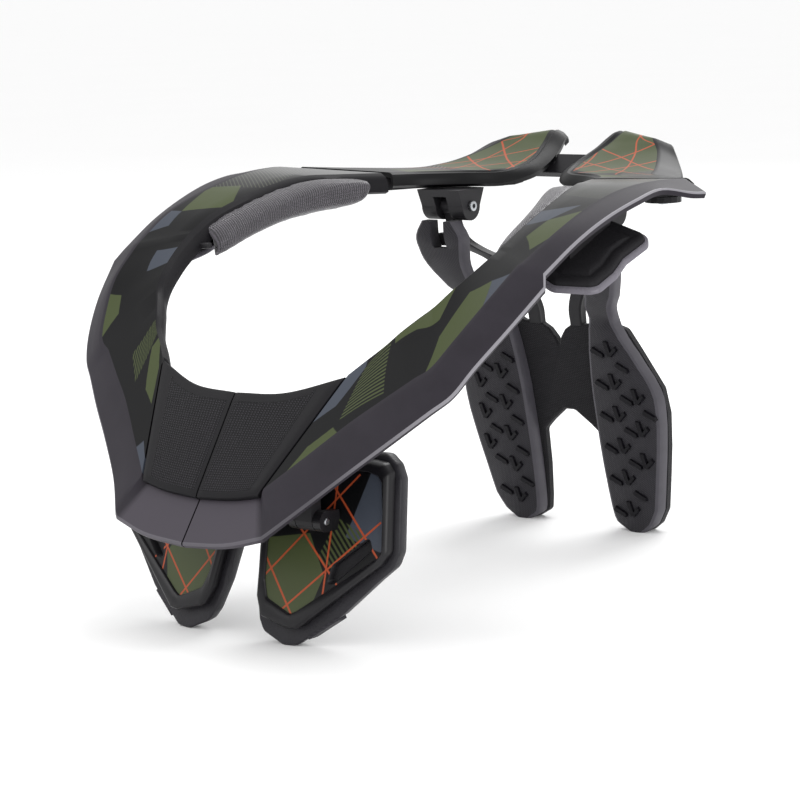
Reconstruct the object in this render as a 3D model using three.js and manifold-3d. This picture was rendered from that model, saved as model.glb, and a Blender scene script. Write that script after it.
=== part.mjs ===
// Motocross neck brace, in millimetres. +Z is up, the front faces -Y and +X is the wearer's left.
// It stands on its two chest pads and the two feet of its back pad. Every piece of a pair is
// drawn once on the +X side and mirrored.
import * as THREE from 'three';
import { mergeVertices } from 'three/addons/utils/BufferGeometryUtils.js';
import Module from 'manifold-3d';

const wasm = await Module();
wasm.setup();

// Overall sizes
const halfWidth = 150; // centre to wing tip
const bodyLength = 346; // front of the seam to the rear edge of the flaps
const bodyHeight = 220; // floor to the top of the rear flaps

// Walls and gaps
const shellWall = 3;
const seamGap = 0.8; // between the two halves at the front
const clearance = 0.4; // between pieces that sit on each other

// Collar ring
const rollIn = 4; // inner wall of the arm, towards the neck
const rollDrop = 10;
const chinPadDepth = 3;
const chinPadCrown = 1.5;
const collarPadDepth = 19;
const collarPadHeight = 19;
const railWidth = 11;
const railHeight = 9;
const linkThickness = 5;
const linkHalfWidth = 0.18 * halfWidth;

// Hinge of each arm at the wing root
const armAxisX = 0.8133 * halfWidth;
const armAxisY = 0.651; // share of bodyLength
const lugRadius = 9;
const lugFootRadius = 5;
const lugThickness = 3;
const armPinRadius = 2.5;

// Hinge of the back support
const pivotX = 0.32 * halfWidth;
const pivotBehind = 3.9; // behind the back of the fork
const pivotDrop = 9.7; // below the rail
const bracketHalfWidth = 14;
const bracketReach = 12; // half its length at the rail
const drumRadius = 8;
const bracketPlate = 4;
const tongueWidth = 7;
const tongueRadius = 4.8;
const hingeSideGap = 0.8;
const screwRadius = 2;
const screwHeadRadius = 2.8;
const screwHeadHeight = 1.4;

// Back support
const backLean = 12.5; // degrees from upright, top towards the neck
const backFoot = 0.9306; // where its front face meets the floor, share of bodyLength
const paddleReach = 0.4333 * halfWidth; // centre to the outer edge of a foot
const forkDrop = 7.6; // top of the fork below the pivot
const neckForward = 0.065 * bodyLength; // how far the fork stands in front of the feet's plane
const backPadDepth = 7.5;
const backPadBevel = 2;
const backPlateDepth = 5.5;
const bridgeTop = 0.4727 * bodyHeight;
const bridgeBottom = 0.3045 * bodyHeight;
const strutBottom = 0.5318 * bodyHeight;

// Chest pieces
const chestSweep = 0.09; // backward for each millimetre outward
const chestLean = 0.35; // backward for each millimetre upward
const chestFaceY = 0.0705; // share of bodyLength, at the floor and the centre
const chestWidth = 0.5867 * halfWidth;
const chestHeight = 0.4136 * bodyHeight;
const chestFrameDepth = 6;
const chestRecess = 1.6;
const chestPadDepth = 9;
const chestAxisX = 0.2867 * halfWidth;
const chestAxisY = 0.1225; // share of bodyLength
const chestAxisZ = 0.2727 * bodyHeight;
const knuckleRadius = 5;
const knuckleWidth = 10;
const earWidth = 4.5;
const chestPinRadius = 1.8;

// Shoulder pieces
const shoulderDepth = 5;
const shoulderLean = 0.4; // upward for each millimetre backward
const shoulderTilt = 0.3; // downward for each millimetre outward
const shoulderHeight = 0.7441 * bodyHeight; // at the front outer corner
const mountWidth = 10;

const roundSides = 16;

const railBottom = 0.915 * bodyHeight - railHeight;
const pivotZ = railBottom - pivotDrop;
const neckTop = pivotZ - forkDrop;

const looks = {
  shell: { color: 0x1d1d1f, roughness: 0.42, metalness: 0 },
  flap: { color: 0x3a3d2c, roughness: 0.45, metalness: 0 },
  pad: { color: 0x161617, roughness: 0.85, metalness: 0 },
  rubber: { color: 0x232326, roughness: 0.7, metalness: 0 },
  nylon: { color: 0x1a1a1c, roughness: 0.55, metalness: 0 },
  chest: { color: 0x24251f, roughness: 0.4, metalness: 0 },
  steel: { color: 0xb9bcc0, roughness: 0.25, metalness: 1 },
};

const brace = new THREE.Group();

const point = (x, y, z) => new THREE.Vector3(x, y, z);
const yAt = (share) => (share - 0.5) * bodyLength;

// A place given as shares: x from the seam to the wing tip, y from front to rear, z from the floor
function place(x, y, z) {
  const seam = seamGap / 2;
  return point(seam + x * (halfWidth - seam), yAt(y), z * bodyHeight);
}

function addMesh(name, geometry, look) {
  const mesh = new THREE.Mesh(geometry, new THREE.MeshStandardMaterial(looks[look]));
  mesh.name = name;
  brace.add(mesh);
}

// The same geometry on the other side of the centre plane, with its faces still outward
function mirrored(geometry) {
  const copy = geometry.index ? geometry.toNonIndexed() : geometry.clone();
  copy.deleteAttribute('normal');
  copy.deleteAttribute('uv');
  const p = copy.attributes.position;
  for (let i = 0; i < p.count; i += 3) {
    const corner = [0, 1, 2].map((k) => point(-p.getX(i + k), p.getY(i + k), p.getZ(i + k)));
    [corner[0], corner[2], corner[1]].forEach((c, k) => p.setXYZ(i + k, c.x, c.y, c.z));
  }
  return mergeVertices(copy, 1e-5);
}

function addPair(name, geometry, look) {
  addMesh(`${name}_left`, geometry, look);
  addMesh(`${name}_right`, mirrored(geometry), look);
}

// Triangles that close a ring of points, in the order of the ring
function capTriangles(ring) {
  const normal = point(0, 0, 0);
  const centre = ring.reduce((sum, p) => sum.add(p), point(0, 0, 0)).divideScalar(ring.length);
  ring.forEach((p, i) => {
    const q = ring[(i + 1) % ring.length];
    normal.add(p.clone().sub(centre).cross(q.clone().sub(centre)));
  });
  normal.normalize();
  const u = ring[1].clone().sub(ring[0]).projectOnPlane(normal).normalize();
  const v = normal.clone().cross(u);
  const flat = ring.map((p) => new THREE.Vector2(p.dot(u), p.dot(v)));
  return THREE.ShapeUtils.triangulateShape(flat, []).map(([a, b, c]) => {
    const ab = flat[b].clone().sub(flat[a]);
    const ac = flat[c].clone().sub(flat[a]);
    return ab.cross(ac) > 0 ? [a, b, c] : [a, c, b];
  });
}

// A closed solid through rings that all have the same number of points
function loft(rings) {
  const n = rings[0].length;
  const index = [];
  for (let i = 0; i < rings.length - 1; i++) {
    for (let j = 0; j < n; j++) {
      const a = i * n + j;
      const b = i * n + ((j + 1) % n);
      index.push(a, b, b + n, a, b + n, a + n);
    }
  }
  const last = (rings.length - 1) * n;
  capTriangles(rings[0]).forEach(([a, b, c]) => index.push(a, c, b));
  capTriangles(rings[rings.length - 1]).forEach(([a, b, c]) => index.push(last + a, last + b, last + c));
  const geometry = new THREE.BufferGeometry();
  const flat = rings.flat().flatMap((p) => p.toArray());
  geometry.setAttribute('position', new THREE.Float32BufferAttribute(flat, 3));
  geometry.setIndex(signedVolume(flat, index) > 0 ? index : index.reverse());
  return geometry;
}

function signedVolume(flat, index) {
  let sum = 0;
  const at = (i) => point(flat[3 * i], flat[3 * i + 1], flat[3 * i + 2]);
  for (let t = 0; t < index.length; t += 3) {
    sum += at(index[t]).dot(at(index[t + 1]).cross(at(index[t + 2])));
  }
  return sum;
}

function toSolid(geometry) {
  const bare = geometry.clone();
  bare.deleteAttribute('normal');
  bare.deleteAttribute('uv');
  const merged = mergeVertices(bare, 1e-4);
  return new wasm.Manifold(
    new wasm.Mesh({
      numProp: 3,
      vertProperties: Float32Array.from(merged.attributes.position.array),
      triVerts: Uint32Array.from(merged.index.array),
    }),
  );
}

function fromSolid(solid) {
  const { vertProperties, triVerts } = solid.getMesh();
  const geometry = new THREE.BufferGeometry();
  geometry.setAttribute('position', new THREE.BufferAttribute(vertProperties, 3));
  geometry.setIndex(new THREE.BufferAttribute(triVerts, 1));
  return geometry;
}

const join = (...parts) => parts.map(toSolid).reduce((a, b) => a.add(b));
const cut = (solid, ...tools) => tools.map(toSolid).reduce((a, b) => a.subtract(b), solid);

function box(x0, x1, y0, y1, z0, z1) {
  return new THREE.BoxGeometry(x1 - x0, y1 - y0, z1 - z0).translate(
    (x0 + x1) / 2,
    (y0 + y1) / 2,
    (z0 + z1) / 2,
  );
}

// Cylinders along X and Z. A hole's sides are moved out so that its flats keep the radius.
function rod(radius, x0, x1, y, z) {
  const geometry = new THREE.CylinderGeometry(radius, radius, x1 - x0, roundSides);
  return geometry.rotateZ(Math.PI / 2).translate((x0 + x1) / 2, y, z);
}
function post(radius, x, y, z0, z1) {
  const geometry = new THREE.CylinderGeometry(radius, radius, z1 - z0, roundSides);
  return geometry.rotateX(Math.PI / 2).translate(x, y, (z0 + z1) / 2);
}
const holeRadius = (pin) => (pin + clearance) / Math.cos(Math.PI / roundSides);

// The arm, from the front seam to the wing. Shares of halfWidth, bodyLength and bodyHeight.
// rim is the outer edge of the top face, edge its inner edge, hem the lower edge of the skirt.
const armRows = [
  // rimX, rimY, rimZ, edgeX, edgeY, edgeZ, hemX, hemY, hemZ, sunk
  [0.0, 0.032, 0.327, 0.0, 0.12, 0.532, 0.0, 0.0, 0.233, 1],
  [0.133, 0.034, 0.333, 0.187, 0.128, 0.539, 0.167, 0.003, 0.242, 1],
  [0.239, 0.039, 0.345, 0.381, 0.155, 0.576, 0.305, 0.012, 0.265, 1],
  [0.252, 0.043, 0.353, 0.393, 0.16, 0.584, 0.319, 0.016, 0.272, 0],
  [0.353, 0.075, 0.414, 0.433, 0.175, 0.611, 0.411, 0.055, 0.332, 0],
  [0.466, 0.11, 0.483, 0.48, 0.19, 0.641, 0.527, 0.092, 0.403, 0],
  [0.56, 0.134, 0.532, 0.513, 0.206, 0.668, 0.633, 0.123, 0.465, 0],
  [0.651, 0.158, 0.579, 0.547, 0.224, 0.693, 0.72, 0.151, 0.517, 0],
  [0.699, 0.167, 0.602, 0.581, 0.242, 0.717, 0.775, 0.169, 0.55, 0],
  [0.741, 0.195, 0.656, 0.607, 0.267, 0.748, 0.819, 0.195, 0.605, 0],
  [0.788, 0.239, 0.728, 0.633, 0.305, 0.784, 0.871, 0.24, 0.676, 0],
  [0.813, 0.298, 0.797, 0.65, 0.345, 0.818, 0.915, 0.296, 0.754, 0],
  [0.819, 0.306, 0.802, 0.652, 0.351, 0.823, 0.895, 0.309, 0.78, 0],
  [0.838, 0.377, 0.858, 0.654, 0.396, 0.856, 0.907, 0.377, 0.837, 0],
  [0.836, 0.444, 0.894, 0.641, 0.447, 0.883, 0.917, 0.443, 0.879, 0],
  [0.835, 0.512, 0.92, 0.617, 0.512, 0.91, 0.929, 0.51, 0.909, 0],
  [0.847, 0.573, 0.933, 0.577, 0.573, 0.926, 0.931, 0.571, 0.924, 0],
  [0.867, 0.631, 0.936, 0.52, 0.631, 0.924, 0.98, 0.614, 0.911, 0],
  [0.879, 0.664, 0.934, 0.447, 0.698, 0.92, 1.0, 0.637, 0.908, 0],
];

// The rear flap, from the wing to its rear edge. roll is the lower edge of its inner flange.
const flapRows = [
  // rimX, rimY, rimZ, edgeX, edgeY, edgeZ, hemX, hemY, hemZ, rollX, rollY, rollZ
  [0.84, 0.698, 0.93, 0.437, 0.712, 0.92, 0.88, 0.71, 0.911, 0.417, 0.705, 0.888],
  [0.687, 0.747, 0.924, 0.387, 0.761, 0.917, 0.747, 0.767, 0.9, 0.367, 0.754, 0.885],
  [0.533, 0.816, 0.918, 0.28, 0.81, 0.915, 0.6, 0.836, 0.898, 0.267, 0.8, 0.883],
  [0.482, 0.858, 0.923, 0.153, 0.836, 0.915, 0.567, 0.871, 0.902, 0.127, 0.825, 0.886],
  [0.44, 0.892, 0.934, 0.117, 0.868, 0.924, 0.53, 0.897, 0.911, 0.063, 0.862, 0.902],
  [0.384, 0.933, 0.958, 0.116, 0.904, 0.942, 0.467, 0.929, 0.936, 0.057, 0.903, 0.923],
  [0.333, 0.956, 0.98, 0.137, 0.945, 0.97, 0.413, 0.952, 0.963, 0.073, 0.946, 0.952],
  [0.317, 0.964, 0.984, 0.153, 0.98, 1.0, 0.393, 0.962, 0.968, 0.092, 0.978, 0.98],
  [0.307, 0.975, 0.972, 0.137, 1.0, 0.984, 0.38, 0.974, 0.955, 0.102, 0.992, 0.967],
];

// Which way a line of stations runs at each of them. At the seam it runs straight outward.
function directions(stations, first) {
  const middle = stations.map((s) => s.rim.clone().lerp(s.edge, 0.5));
  return stations.map((s, i) => {
    if (i === 0 && first) return first;
    const before = middle[Math.max(i - 1, 0)];
    const after = middle[Math.min(i + 1, middle.length - 1)];
    return after.clone().sub(before).normalize();
  });
}

const down = (from, to, along) => to.clone().sub(from).cross(along).normalize();

function armStations() {
  const stations = armRows.map((row) => {
    const [rimX, rimY, rimZ, edgeX, edgeY, edgeZ, hemX, hemY, hemZ, sunk] = row;
    return {
      rim: place(rimX, rimY, rimZ),
      edge: place(edgeX, edgeY, edgeZ),
      hem: place(hemX, hemY, hemZ),
      sunk,
    };
  });
  directions(stations, point(1, 0, 0)).forEach((along, i) => {
    const s = stations[i];
    s.along = along;
    s.under = down(s.rim, s.edge, along);
    s.inward = point(0, 0, 1).cross(along).normalize();
  });
  return stations;
}

function flapStations() {
  const stations = flapRows.map((row) => {
    const [rimX, rimY, rimZ, edgeX, edgeY, edgeZ, hemX, hemY, hemZ, rollX, rollY, rollZ] = row;
    return {
      rim: place(rimX, rimY, rimZ),
      edge: place(edgeX, edgeY, edgeZ),
      hem: place(hemX, hemY, hemZ),
      roll: place(rollX, rollY, rollZ),
    };
  });
  directions(stations).forEach((along, i) => {
    stations[i].along = along;
    stations[i].under = down(stations[i].rim, stations[i].edge, along);
  });
  return stations;
}

// A wall that follows a line of points, as thick as wall on the side that faces down
function wallRing(line, along, wall) {
  const inner = line.map((p, i) => {
    const sides = [];
    if (i > 0) sides.push(down(line[i - 1], p, along));
    if (i < line.length - 1) sides.push(down(p, line[i + 1], along));
    const sum = sides.reduce((a, b) => a.clone().add(b));
    const stretch = sides.length === 2 ? 1 + sides[0].dot(sides[1]) : 1;
    return p.clone().addScaledVector(sum, wall / stretch);
  });
  return [...line, ...inner.reverse()];
}

const arm = armStations();
const flap = flapStations();

const sinkOf = (s) => s.sunk * (chinPadDepth + clearance);
function armLine(s) {
  const rim = s.rim.clone().addScaledVector(s.under, sinkOf(s));
  const edge = s.edge.clone().addScaledVector(s.under, sinkOf(s));
  const roll = edge.clone().addScaledVector(s.inward, rollIn).add(point(0, 0, -rollDrop));
  return [s.hem, rim, edge, roll];
}

function armShell() {
  return loft(arm.map((s) => wallRing(armLine(s), s.along, shellWall)));
}

// Everything above the underside of a shell, so that what hangs from it can be trimmed to it
function aboveShell(stations, sink) {
  const room = point(0, 0, bodyHeight);
  return loft(
    stations.map((s) => {
      const depth = sink(s) + shellWall + clearance;
      const rim = s.rim.clone().addScaledVector(s.under, depth);
      const edge = s.edge.clone().addScaledVector(s.under, depth);
      return [rim, edge, edge.clone().add(room), rim.clone().add(room)];
    }),
  );
}

// Half of the chin pad, on the sunken front of the arm, with a crowned top
function chinPad() {
  const rings = arm
    .filter((s) => s.sunk)
    .map((s) => {
      const crown = (t) => s.rim.clone().lerp(s.edge, t).addScaledVector(s.under, -chinPadCrown);
      const bottom = (p) => p.clone().addScaledVector(s.under, chinPadDepth);
      return [s.rim, crown(0.2), crown(0.8), s.edge, bottom(s.edge), bottom(s.rim)];
    });
  return loft(rings);
}

// A station between two rows: 2.5 lies halfway from the third to the fourth
function between(stations, t) {
  const i = Math.min(Math.floor(t), stations.length - 2);
  const mixed = {};
  for (const key of Object.keys(stations[i])) {
    const a = stations[i][key];
    mixed[key] = a.isVector3 ? a.clone().lerp(stations[i + 1][key], t - i) : a;
  }
  return mixed;
}

// The collar pad slopes down from the inner edge of the arm and flattens towards its rear end
const collarRows = [
  // row of the arm, then inward and upward of five points, in shares of the pad's depth and height
  [12.5, [0.26, -0.16], [0.47, -0.4], [0.53, -0.63], [0.47, -0.84], [0.26, -0.95]],
  [13, [0.32, -0.16], [0.6, -0.42], [0.71, -0.68], [0.6, -0.92], [0.34, -1]],
  [14, [0.34, -0.15], [0.66, -0.4], [0.76, -0.63], [0.66, -0.9], [0.37, -1]],
  [15, [0.4, -0.1], [0.74, -0.27], [0.84, -0.53], [0.74, -0.87], [0.37, -1]],
  [16, [0.45, -0.03], [0.84, -0.17], [0.95, -0.42], [0.84, -0.84], [0.42, -1]],
  [17, [0.45, 0], [0.9, -0.06], [1, -0.26], [0.87, -0.68], [0.42, -0.84]],
  [17.3, [0.42, -0.02], [0.82, -0.08], [0.87, -0.24], [0.76, -0.5], [0.4, -0.6]],
];

function collarPad() {
  const rings = collarRows.map(([row, ...section]) => {
    const s = between(arm, row);
    const at = (inward, upward) =>
      s.edge.clone().addScaledVector(s.inward, inward).add(point(0, 0, upward));
    const foot = rollIn + clearance + (rollIn * (collarPadHeight - rollDrop)) / collarPadHeight / 4;
    const bottom = section.at(-1)[1] * collarPadHeight;
    return [
      at(clearance * 1.4, clearance / 2),
      ...section.map(([i, u]) => at(i * collarPadDepth, u * collarPadHeight)),
      at(foot, 0.93 * bottom),
      at(rollIn + clearance * 1.4, -rollDrop),
    ];
  });
  return loft(rings);
}

// Outline of the shoulder pad seen from above, in shares of halfWidth and bodyLength
const shoulderOutline = [
  [0.667, 0.392],
  [0.81, 0.375],
  [0.913, 0.4],
  [0.933, 0.411],
  [0.937, 0.449],
  [0.923, 0.483],
  [0.933, 0.533],
  [0.907, 0.547],
  [0.667, 0.547],
];
const shoulderCorner = [0.933, 0.411];

const shoulderTop = (x, y) => {
  const [cornerX, cornerY] = shoulderCorner;
  const back = y - yAt(cornerY);
  return shoulderHeight + shoulderLean * back - shoulderTilt * (x - cornerX * halfWidth);
};

function shoulderRing(lift) {
  return shoulderOutline.map(([x, y]) => {
    const [px, py] = [x * halfWidth, yAt(y)];
    return point(px, py, shoulderTop(px, py) + lift);
  });
}

function shoulderPad() {
  return loft([shoulderRing(-shoulderDepth), shoulderRing(0)]);
}

function shoulderMount() {
  const [x0, x1] = [0.76 * halfWidth - mountWidth / 2, 0.76 * halfWidth + mountWidth / 2];
  const rib = box(x0, x1, yAt(0.43), yAt(0.53), shoulderHeight - shoulderDepth, bodyHeight);
  const belowPad = loft([shoulderRing(-bodyHeight), shoulderRing(clearance)]);
  return fromSolid(cut(toSolid(rib), aboveShell(arm, sinkOf), belowPad));
}

// Rear half of the ring
function rearFlap() {
  return loft(flap.map((s) => wallRing([s.hem, s.rim, s.edge, s.roll], s.along, shellWall)));
}

function rail() {
  const rows = [0.12, 1, 2, 3, 4, 4.6];
  const rings = rows.map((row) => {
    const s = between(flap, row);
    const across = s.rim.clone().sub(s.edge);
    const flat = Math.hypot(across.x, across.y);
    const drop = (shellWall + clearance) / -s.under.z;
    const top = (out) => s.edge.clone().addScaledVector(across, out / flat).add(point(0, 0, -drop));
    const [a, b] = [top(shellWall + 2), top(shellWall + 2 + railWidth)];
    const low = Math.max(railBottom, s.edge.z - drop - railHeight);
    return [a, b, point(b.x, b.y, low), point(a.x, a.y, low)];
  });
  return loft(rings);
}

// The bar that ties the two flaps together, leaning with the rise of their tips
function rearLink() {
  const section = [
    [0.9185, 0.9],
    [0.9385, 0.944],
  ].map(([y, z]) => point(0, yAt(y), z * bodyHeight));
  const slope = section[1].clone().sub(section[0]).normalize();
  const thick = point(0, slope.z, -slope.y).multiplyScalar(linkThickness);
  const ring = (x) =>
    [section[0], section[1], section[1].clone().add(thick), section[0].clone().add(thick)].map((p) =>
      p.clone().add(point(x, 0, 0)),
    );
  const bar = toSolid(loft([ring(-linkHalfWidth), ring(linkHalfWidth)]));
  return fromSolid(cut(bar, aboveFlange(1), aboveFlange(-1)));
}

// Everything above the inner flange of a flap, lowered by the clearance
function aboveFlange(side) {
  const geometry = loft(
    flap.slice(3).map((s) => {
      const line = [s.rim, s.edge, s.roll].map((p) => p.clone());
      const ring = wallRing(line, s.along, shellWall + clearance);
      const under = ring.slice(3);
      const lowRoll = under[0].clone().add(point(-1, 0, -1));
      const room = point(0, 0, bodyHeight / 4);
      return [under[2], under[1], lowRoll, lowRoll.clone().add(room), under[2].clone().add(room)];
    }),
  );
  return side > 0 ? geometry : mirrored(geometry);
}

// Arm hinge: a lug of the rear half, a lug of the arm above it, and a pin through both. Each lug
// hangs from its shell by a round foot.
const armAxis = { x: armAxisX, y: yAt(armAxisY) };
const armFoot = { x: 0.76 * halfWidth, y: yAt(0.6) };
const rearFoot = { x: 0.693 * halfWidth, y: yAt(0.724) };
const armLugBottom = 0.897 * bodyHeight;
const rearLugBottom = armLugBottom - lugThickness - clearance;

// A flat bar with round ends of two radii, standing from z0 to z1
function barBetween(a, radiusA, b, radiusB, z0, z1) {
  const turn = Math.atan2(b.y - a.y, b.x - a.x);
  const half = roundSides / 2;
  const arc = (centre, radius, start) =>
    Array.from({ length: half + 1 }, (_, i) => {
      const angle = start + (i / half) * Math.PI;
      return [centre.x + radius * Math.cos(angle), centre.y + radius * Math.sin(angle)];
    });
  const loop = [...arc(a, radiusA, turn + Math.PI / 2), ...arc(b, radiusB, turn - Math.PI / 2)];
  return loft([z0, z1].map((z) => loop.map(([x, y]) => point(x, y, z))));
}

function lug(bottom, foot, ceiling) {
  const top = bottom + lugThickness;
  const solid = join(
    barBetween(armAxis, lugRadius, foot, lugFootRadius, bottom, top),
    post(lugFootRadius, foot.x, foot.y, bottom, bodyHeight),
  );
  const bore = post(holeRadius(armPinRadius), armAxis.x, armAxis.y, bottom - 1, top + 1);
  return fromSolid(cut(solid, ceiling, bore));
}

function armPin() {
  return post(armPinRadius, armAxis.x, armAxis.y, rearLugBottom - 1, armLugBottom + lugThickness + 1);
}

// The front face of the feet leans. The fork stands in front of it and the pivot behind the fork.
const leanSlope = Math.tan(THREE.MathUtils.degToRad(backLean));
const faceY = (z) => yAt(backFoot) - leanSlope * z;
const forkBack = faceY(0.93 * neckTop) - 0.975 * neckForward + backPadDepth;
const pivot = point(pivotX, forkBack + pivotBehind, pivotZ);

// Back support hinge under each rail: a bracket with two round cheeks and a slot for the tongue
const plateTop = railBottom - clearance;
const slotHalf = tongueWidth / 2 + hingeSideGap;

function hingeBracket() {
  const { x, y, z } = pivot;
  const [x0, x1] = [x - bracketHalfWidth, x + bracketHalfWidth];
  const round = Array.from({ length: roundSides + 1 }, (_, i) => {
    const angle = (i / roundSides) * Math.PI;
    return [drumRadius * Math.cos(angle), z - drumRadius * Math.sin(angle)];
  });
  const top = [-1, 1].map((side) => [side * bracketReach, plateTop]);
  const ring = (at) => [...top, ...round].map(([across, up]) => point(at, y + across, up));
  const [front, back] = [y - bracketReach - 1, y + bracketReach + 1];
  const slot = box(x - slotHalf, x + slotHalf, front, back, z - bracketReach, plateTop - bracketPlate);
  const bore = rod(holeRadius(screwRadius), x0 - 1, x1 + 1, y, z);
  return fromSolid(cut(toSolid(loft([ring(x0), ring(x1)])), slot, bore));
}

function hingeScrew() {
  const { x, y, z } = pivot;
  const face = x - bracketHalfWidth - clearance;
  return fromSolid(
    join(
      rod(screwRadius, face - 0.5, x + bracketHalfWidth, y, z),
      rod(screwHeadRadius, face - screwHeadHeight, face, y, z),
    ),
  );
}

// Cushion of one foot with its neck and fork. Shares of paddleReach, neckTop and neckForward.
const backPadRows = [
  // height, inner, outer, forward
  [0, 0.52, 0.665, 0],
  [0.03, 0.4, 0.77, 0],
  [0.08, 0.37, 0.85, 0],
  [0.19, 0.35, 0.91, 0],
  [0.29, 0.342, 0.962, 0],
  [0.4, 0.342, 1.0, 0],
  [0.48, 0.346, 0.98, 0],
  [0.59, 0.37, 0.815, 0],
  [0.663, 0.4, 0.7, 0],
  [0.697, 0.42, 0.668, 0],
  [0.743, 0.485, 0.746, 0.36],
  [0.783, 0.554, 0.846, 0.59],
  [0.857, 0.554, 0.954, 0.86],
  [0.914, 0.515, 0.992, 0.96],
  [0.954, 0.492, 0.985, 1.0],
  [1.0, 0.57, 0.91, 0.95],
];

function backPadRings(behind) {
  return backPadRows.map(([height, inner, outer, forward]) => {
    const z = height * neckTop;
    const front = faceY(z) - forward * neckForward;
    const back = front + backPadDepth + behind;
    const [a, b] = [inner * paddleReach, outer * paddleReach];
    const bevel = Math.min(backPadBevel, (b - a) / 4);
    return [
      point(a, back, z),
      point(a, front + bevel, z),
      point(a + bevel, front, z),
      point(b - bevel, front, z),
      point(b, front + bevel, z),
      point(b, back, z),
    ];
  });
}

function backPad() {
  const { x } = pivot;
  const forkBottom = 0.914 * neckTop;
  const slot = box(x - slotHalf, x + slotHalf, yAt(0.5), yAt(1), forkBottom, neckTop + 1);
  return fromSolid(cut(toSolid(loft(backPadRings(0))), slot));
}

// The plate behind both cushions: two legs and a bridge with a notch above and below it
function backPlate() {
  const legs = backPadRows.filter(([height, , , forward]) => forward === 0 && height < 0.69);
  const upper = [
    ...legs.map(([height, , outer]) => [outer, height * neckTop]),
    [0.44, 1.034 * strutBottom],
    [0.33, strutBottom],
    [0.12, strutBottom],
    [0, bridgeTop],
  ];
  const lower = [
    [0, bridgeBottom],
    [0.055, bridgeBottom],
    [0.2, 0.888 * bridgeBottom],
    [0.29, 0.806 * bridgeBottom],
    [0.31, 0.19 * neckTop],
    [0.35, 0.08 * neckTop],
    [0.38, 0.03 * neckTop],
    [0.52, 0],
  ];
  const otherSide = (line) => line.map(([x, z]) => [-x, z]).reverse();
  const loop = [...upper, ...otherSide(upper).slice(1), ...otherSide(lower), ...lower.slice(1)];
  const ring = (depth) => loop.map(([x, z]) => point(x * paddleReach, faceY(z) + depth, z));
  const start = backPadDepth + clearance;
  return loft([ring(start), ring(start + backPlateDepth)]);
}

// The strut from the pivot down to the top of the back plate. across and back are half sizes.
function thoracicStrut() {
  const footX = 0.21 * paddleReach;
  const footY = faceY(strutBottom) + backPadDepth + clearance + backPlateDepth / 2;
  const foot = point(footX, footY, strutBottom + clearance);
  const rows = [
    // share of the way down, across, back, half width, half depth
    [0, 0, 0, tongueWidth / 2, 3.6],
    [0.16, 0, 0.1, tongueWidth / 2, 3.8],
    [0.28, 0.03, 0.22, 4.4, 4],
    [0.37, 0.17, 0.42, 4.8, 4],
    [0.46, 0.44, 0.63, 4.8, 4],
    [0.6, 0.74, 0.8, 4.6, 3.8],
    [0.83, 0.97, 0.93, 4.2, 3.4],
    [1, 1, 1, 4, 3],
  ];
  const rings = rows.map(([fall, across, back, w, d]) => {
    const c = point(
      THREE.MathUtils.lerp(pivot.x, foot.x, across),
      THREE.MathUtils.lerp(pivot.y, foot.y, back),
      THREE.MathUtils.lerp(pivot.z, foot.z, fall),
    );
    return [
      [-w, -d],
      [w, -d],
      [w, d],
      [-w, d],
    ].map(([x, y]) => c.clone().add(point(x, y, 0)));
  });
  const { x, y, z } = pivot;
  const seat = box(x - 7, x + 7, y - drumRadius, y + 2, 0.917 * neckTop, 0.957 * neckTop);
  const tongue = rod(tongueRadius, x - tongueWidth / 2, x + tongueWidth / 2, y, z);
  const bore = rod(holeRadius(screwRadius), x - tongueWidth, x + tongueWidth, y, z);
  return fromSolid(cut(join(tongue, loft(rings), seat), loft(backPadRings(clearance)), bore));
}

// Chest pieces, in a plane that leans back and sweeps outward
const chestPlaneY = (x, z, depth) => yAt(chestFaceY) + chestSweep * x + chestLean * z + depth;

function chestSlab(outline, from, to) {
  const ring = (depth) =>
    outline.map(([x, z]) => {
      const [px, pz] = [x * chestWidth, z * chestHeight];
      return point(px, chestPlaneY(px, pz, depth), pz);
    });
  return loft([ring(from), ring(to)]);
}

// Outlines in shares of chestWidth and chestHeight, from the lower inner corner round outward
const chestPadOutline = [
  [0.2, 0.055],
  [0.34, 0.0],
  [0.43, 0.005],
  [0.68, 0.175],
  [0.86, 0.35],
  [0.95, 0.43],
  [0.968, 0.505],
  [0.9, 0.86],
  [0.855, 0.93],
  [0.78, 0.98],
  [0.2, 0.98],
  [0.1, 0.82],
  [0.076, 0.47],
  [0.11, 0.26],
  [0.16, 0.11],
];
const chestFrameOutline = [
  [0.21, 0.14],
  [0.4, 0.095],
  [0.458, 0.1],
  [0.9, 0.45],
  [0.937, 0.51],
  [0.862, 0.895],
  [0.815, 0.94],
  [0.74, 0.95],
  [0.22, 0.95],
  [0.135, 0.8],
  [0.128, 0.48],
  [0.16, 0.24],
];
const chestArtOutline = [
  [0.21, 0.235],
  [0.4, 0.17],
  [0.525, 0.25],
  [0.889, 0.492],
  [0.907, 0.548],
  [0.828, 0.848],
  [0.77, 0.888],
  [0.25, 0.888],
  [0.18, 0.76],
  [0.175, 0.5],
];
const chestVentOutline = [
  [0.59, 0.33],
  [0.645, 0.34],
  [0.845, 0.52],
  [0.81, 0.585],
  [0.61, 0.43],
];

const chestAxis = point(chestAxisX, yAt(chestAxisY), chestAxisZ);
const knuckleHalf = knuckleWidth / 2;

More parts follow.
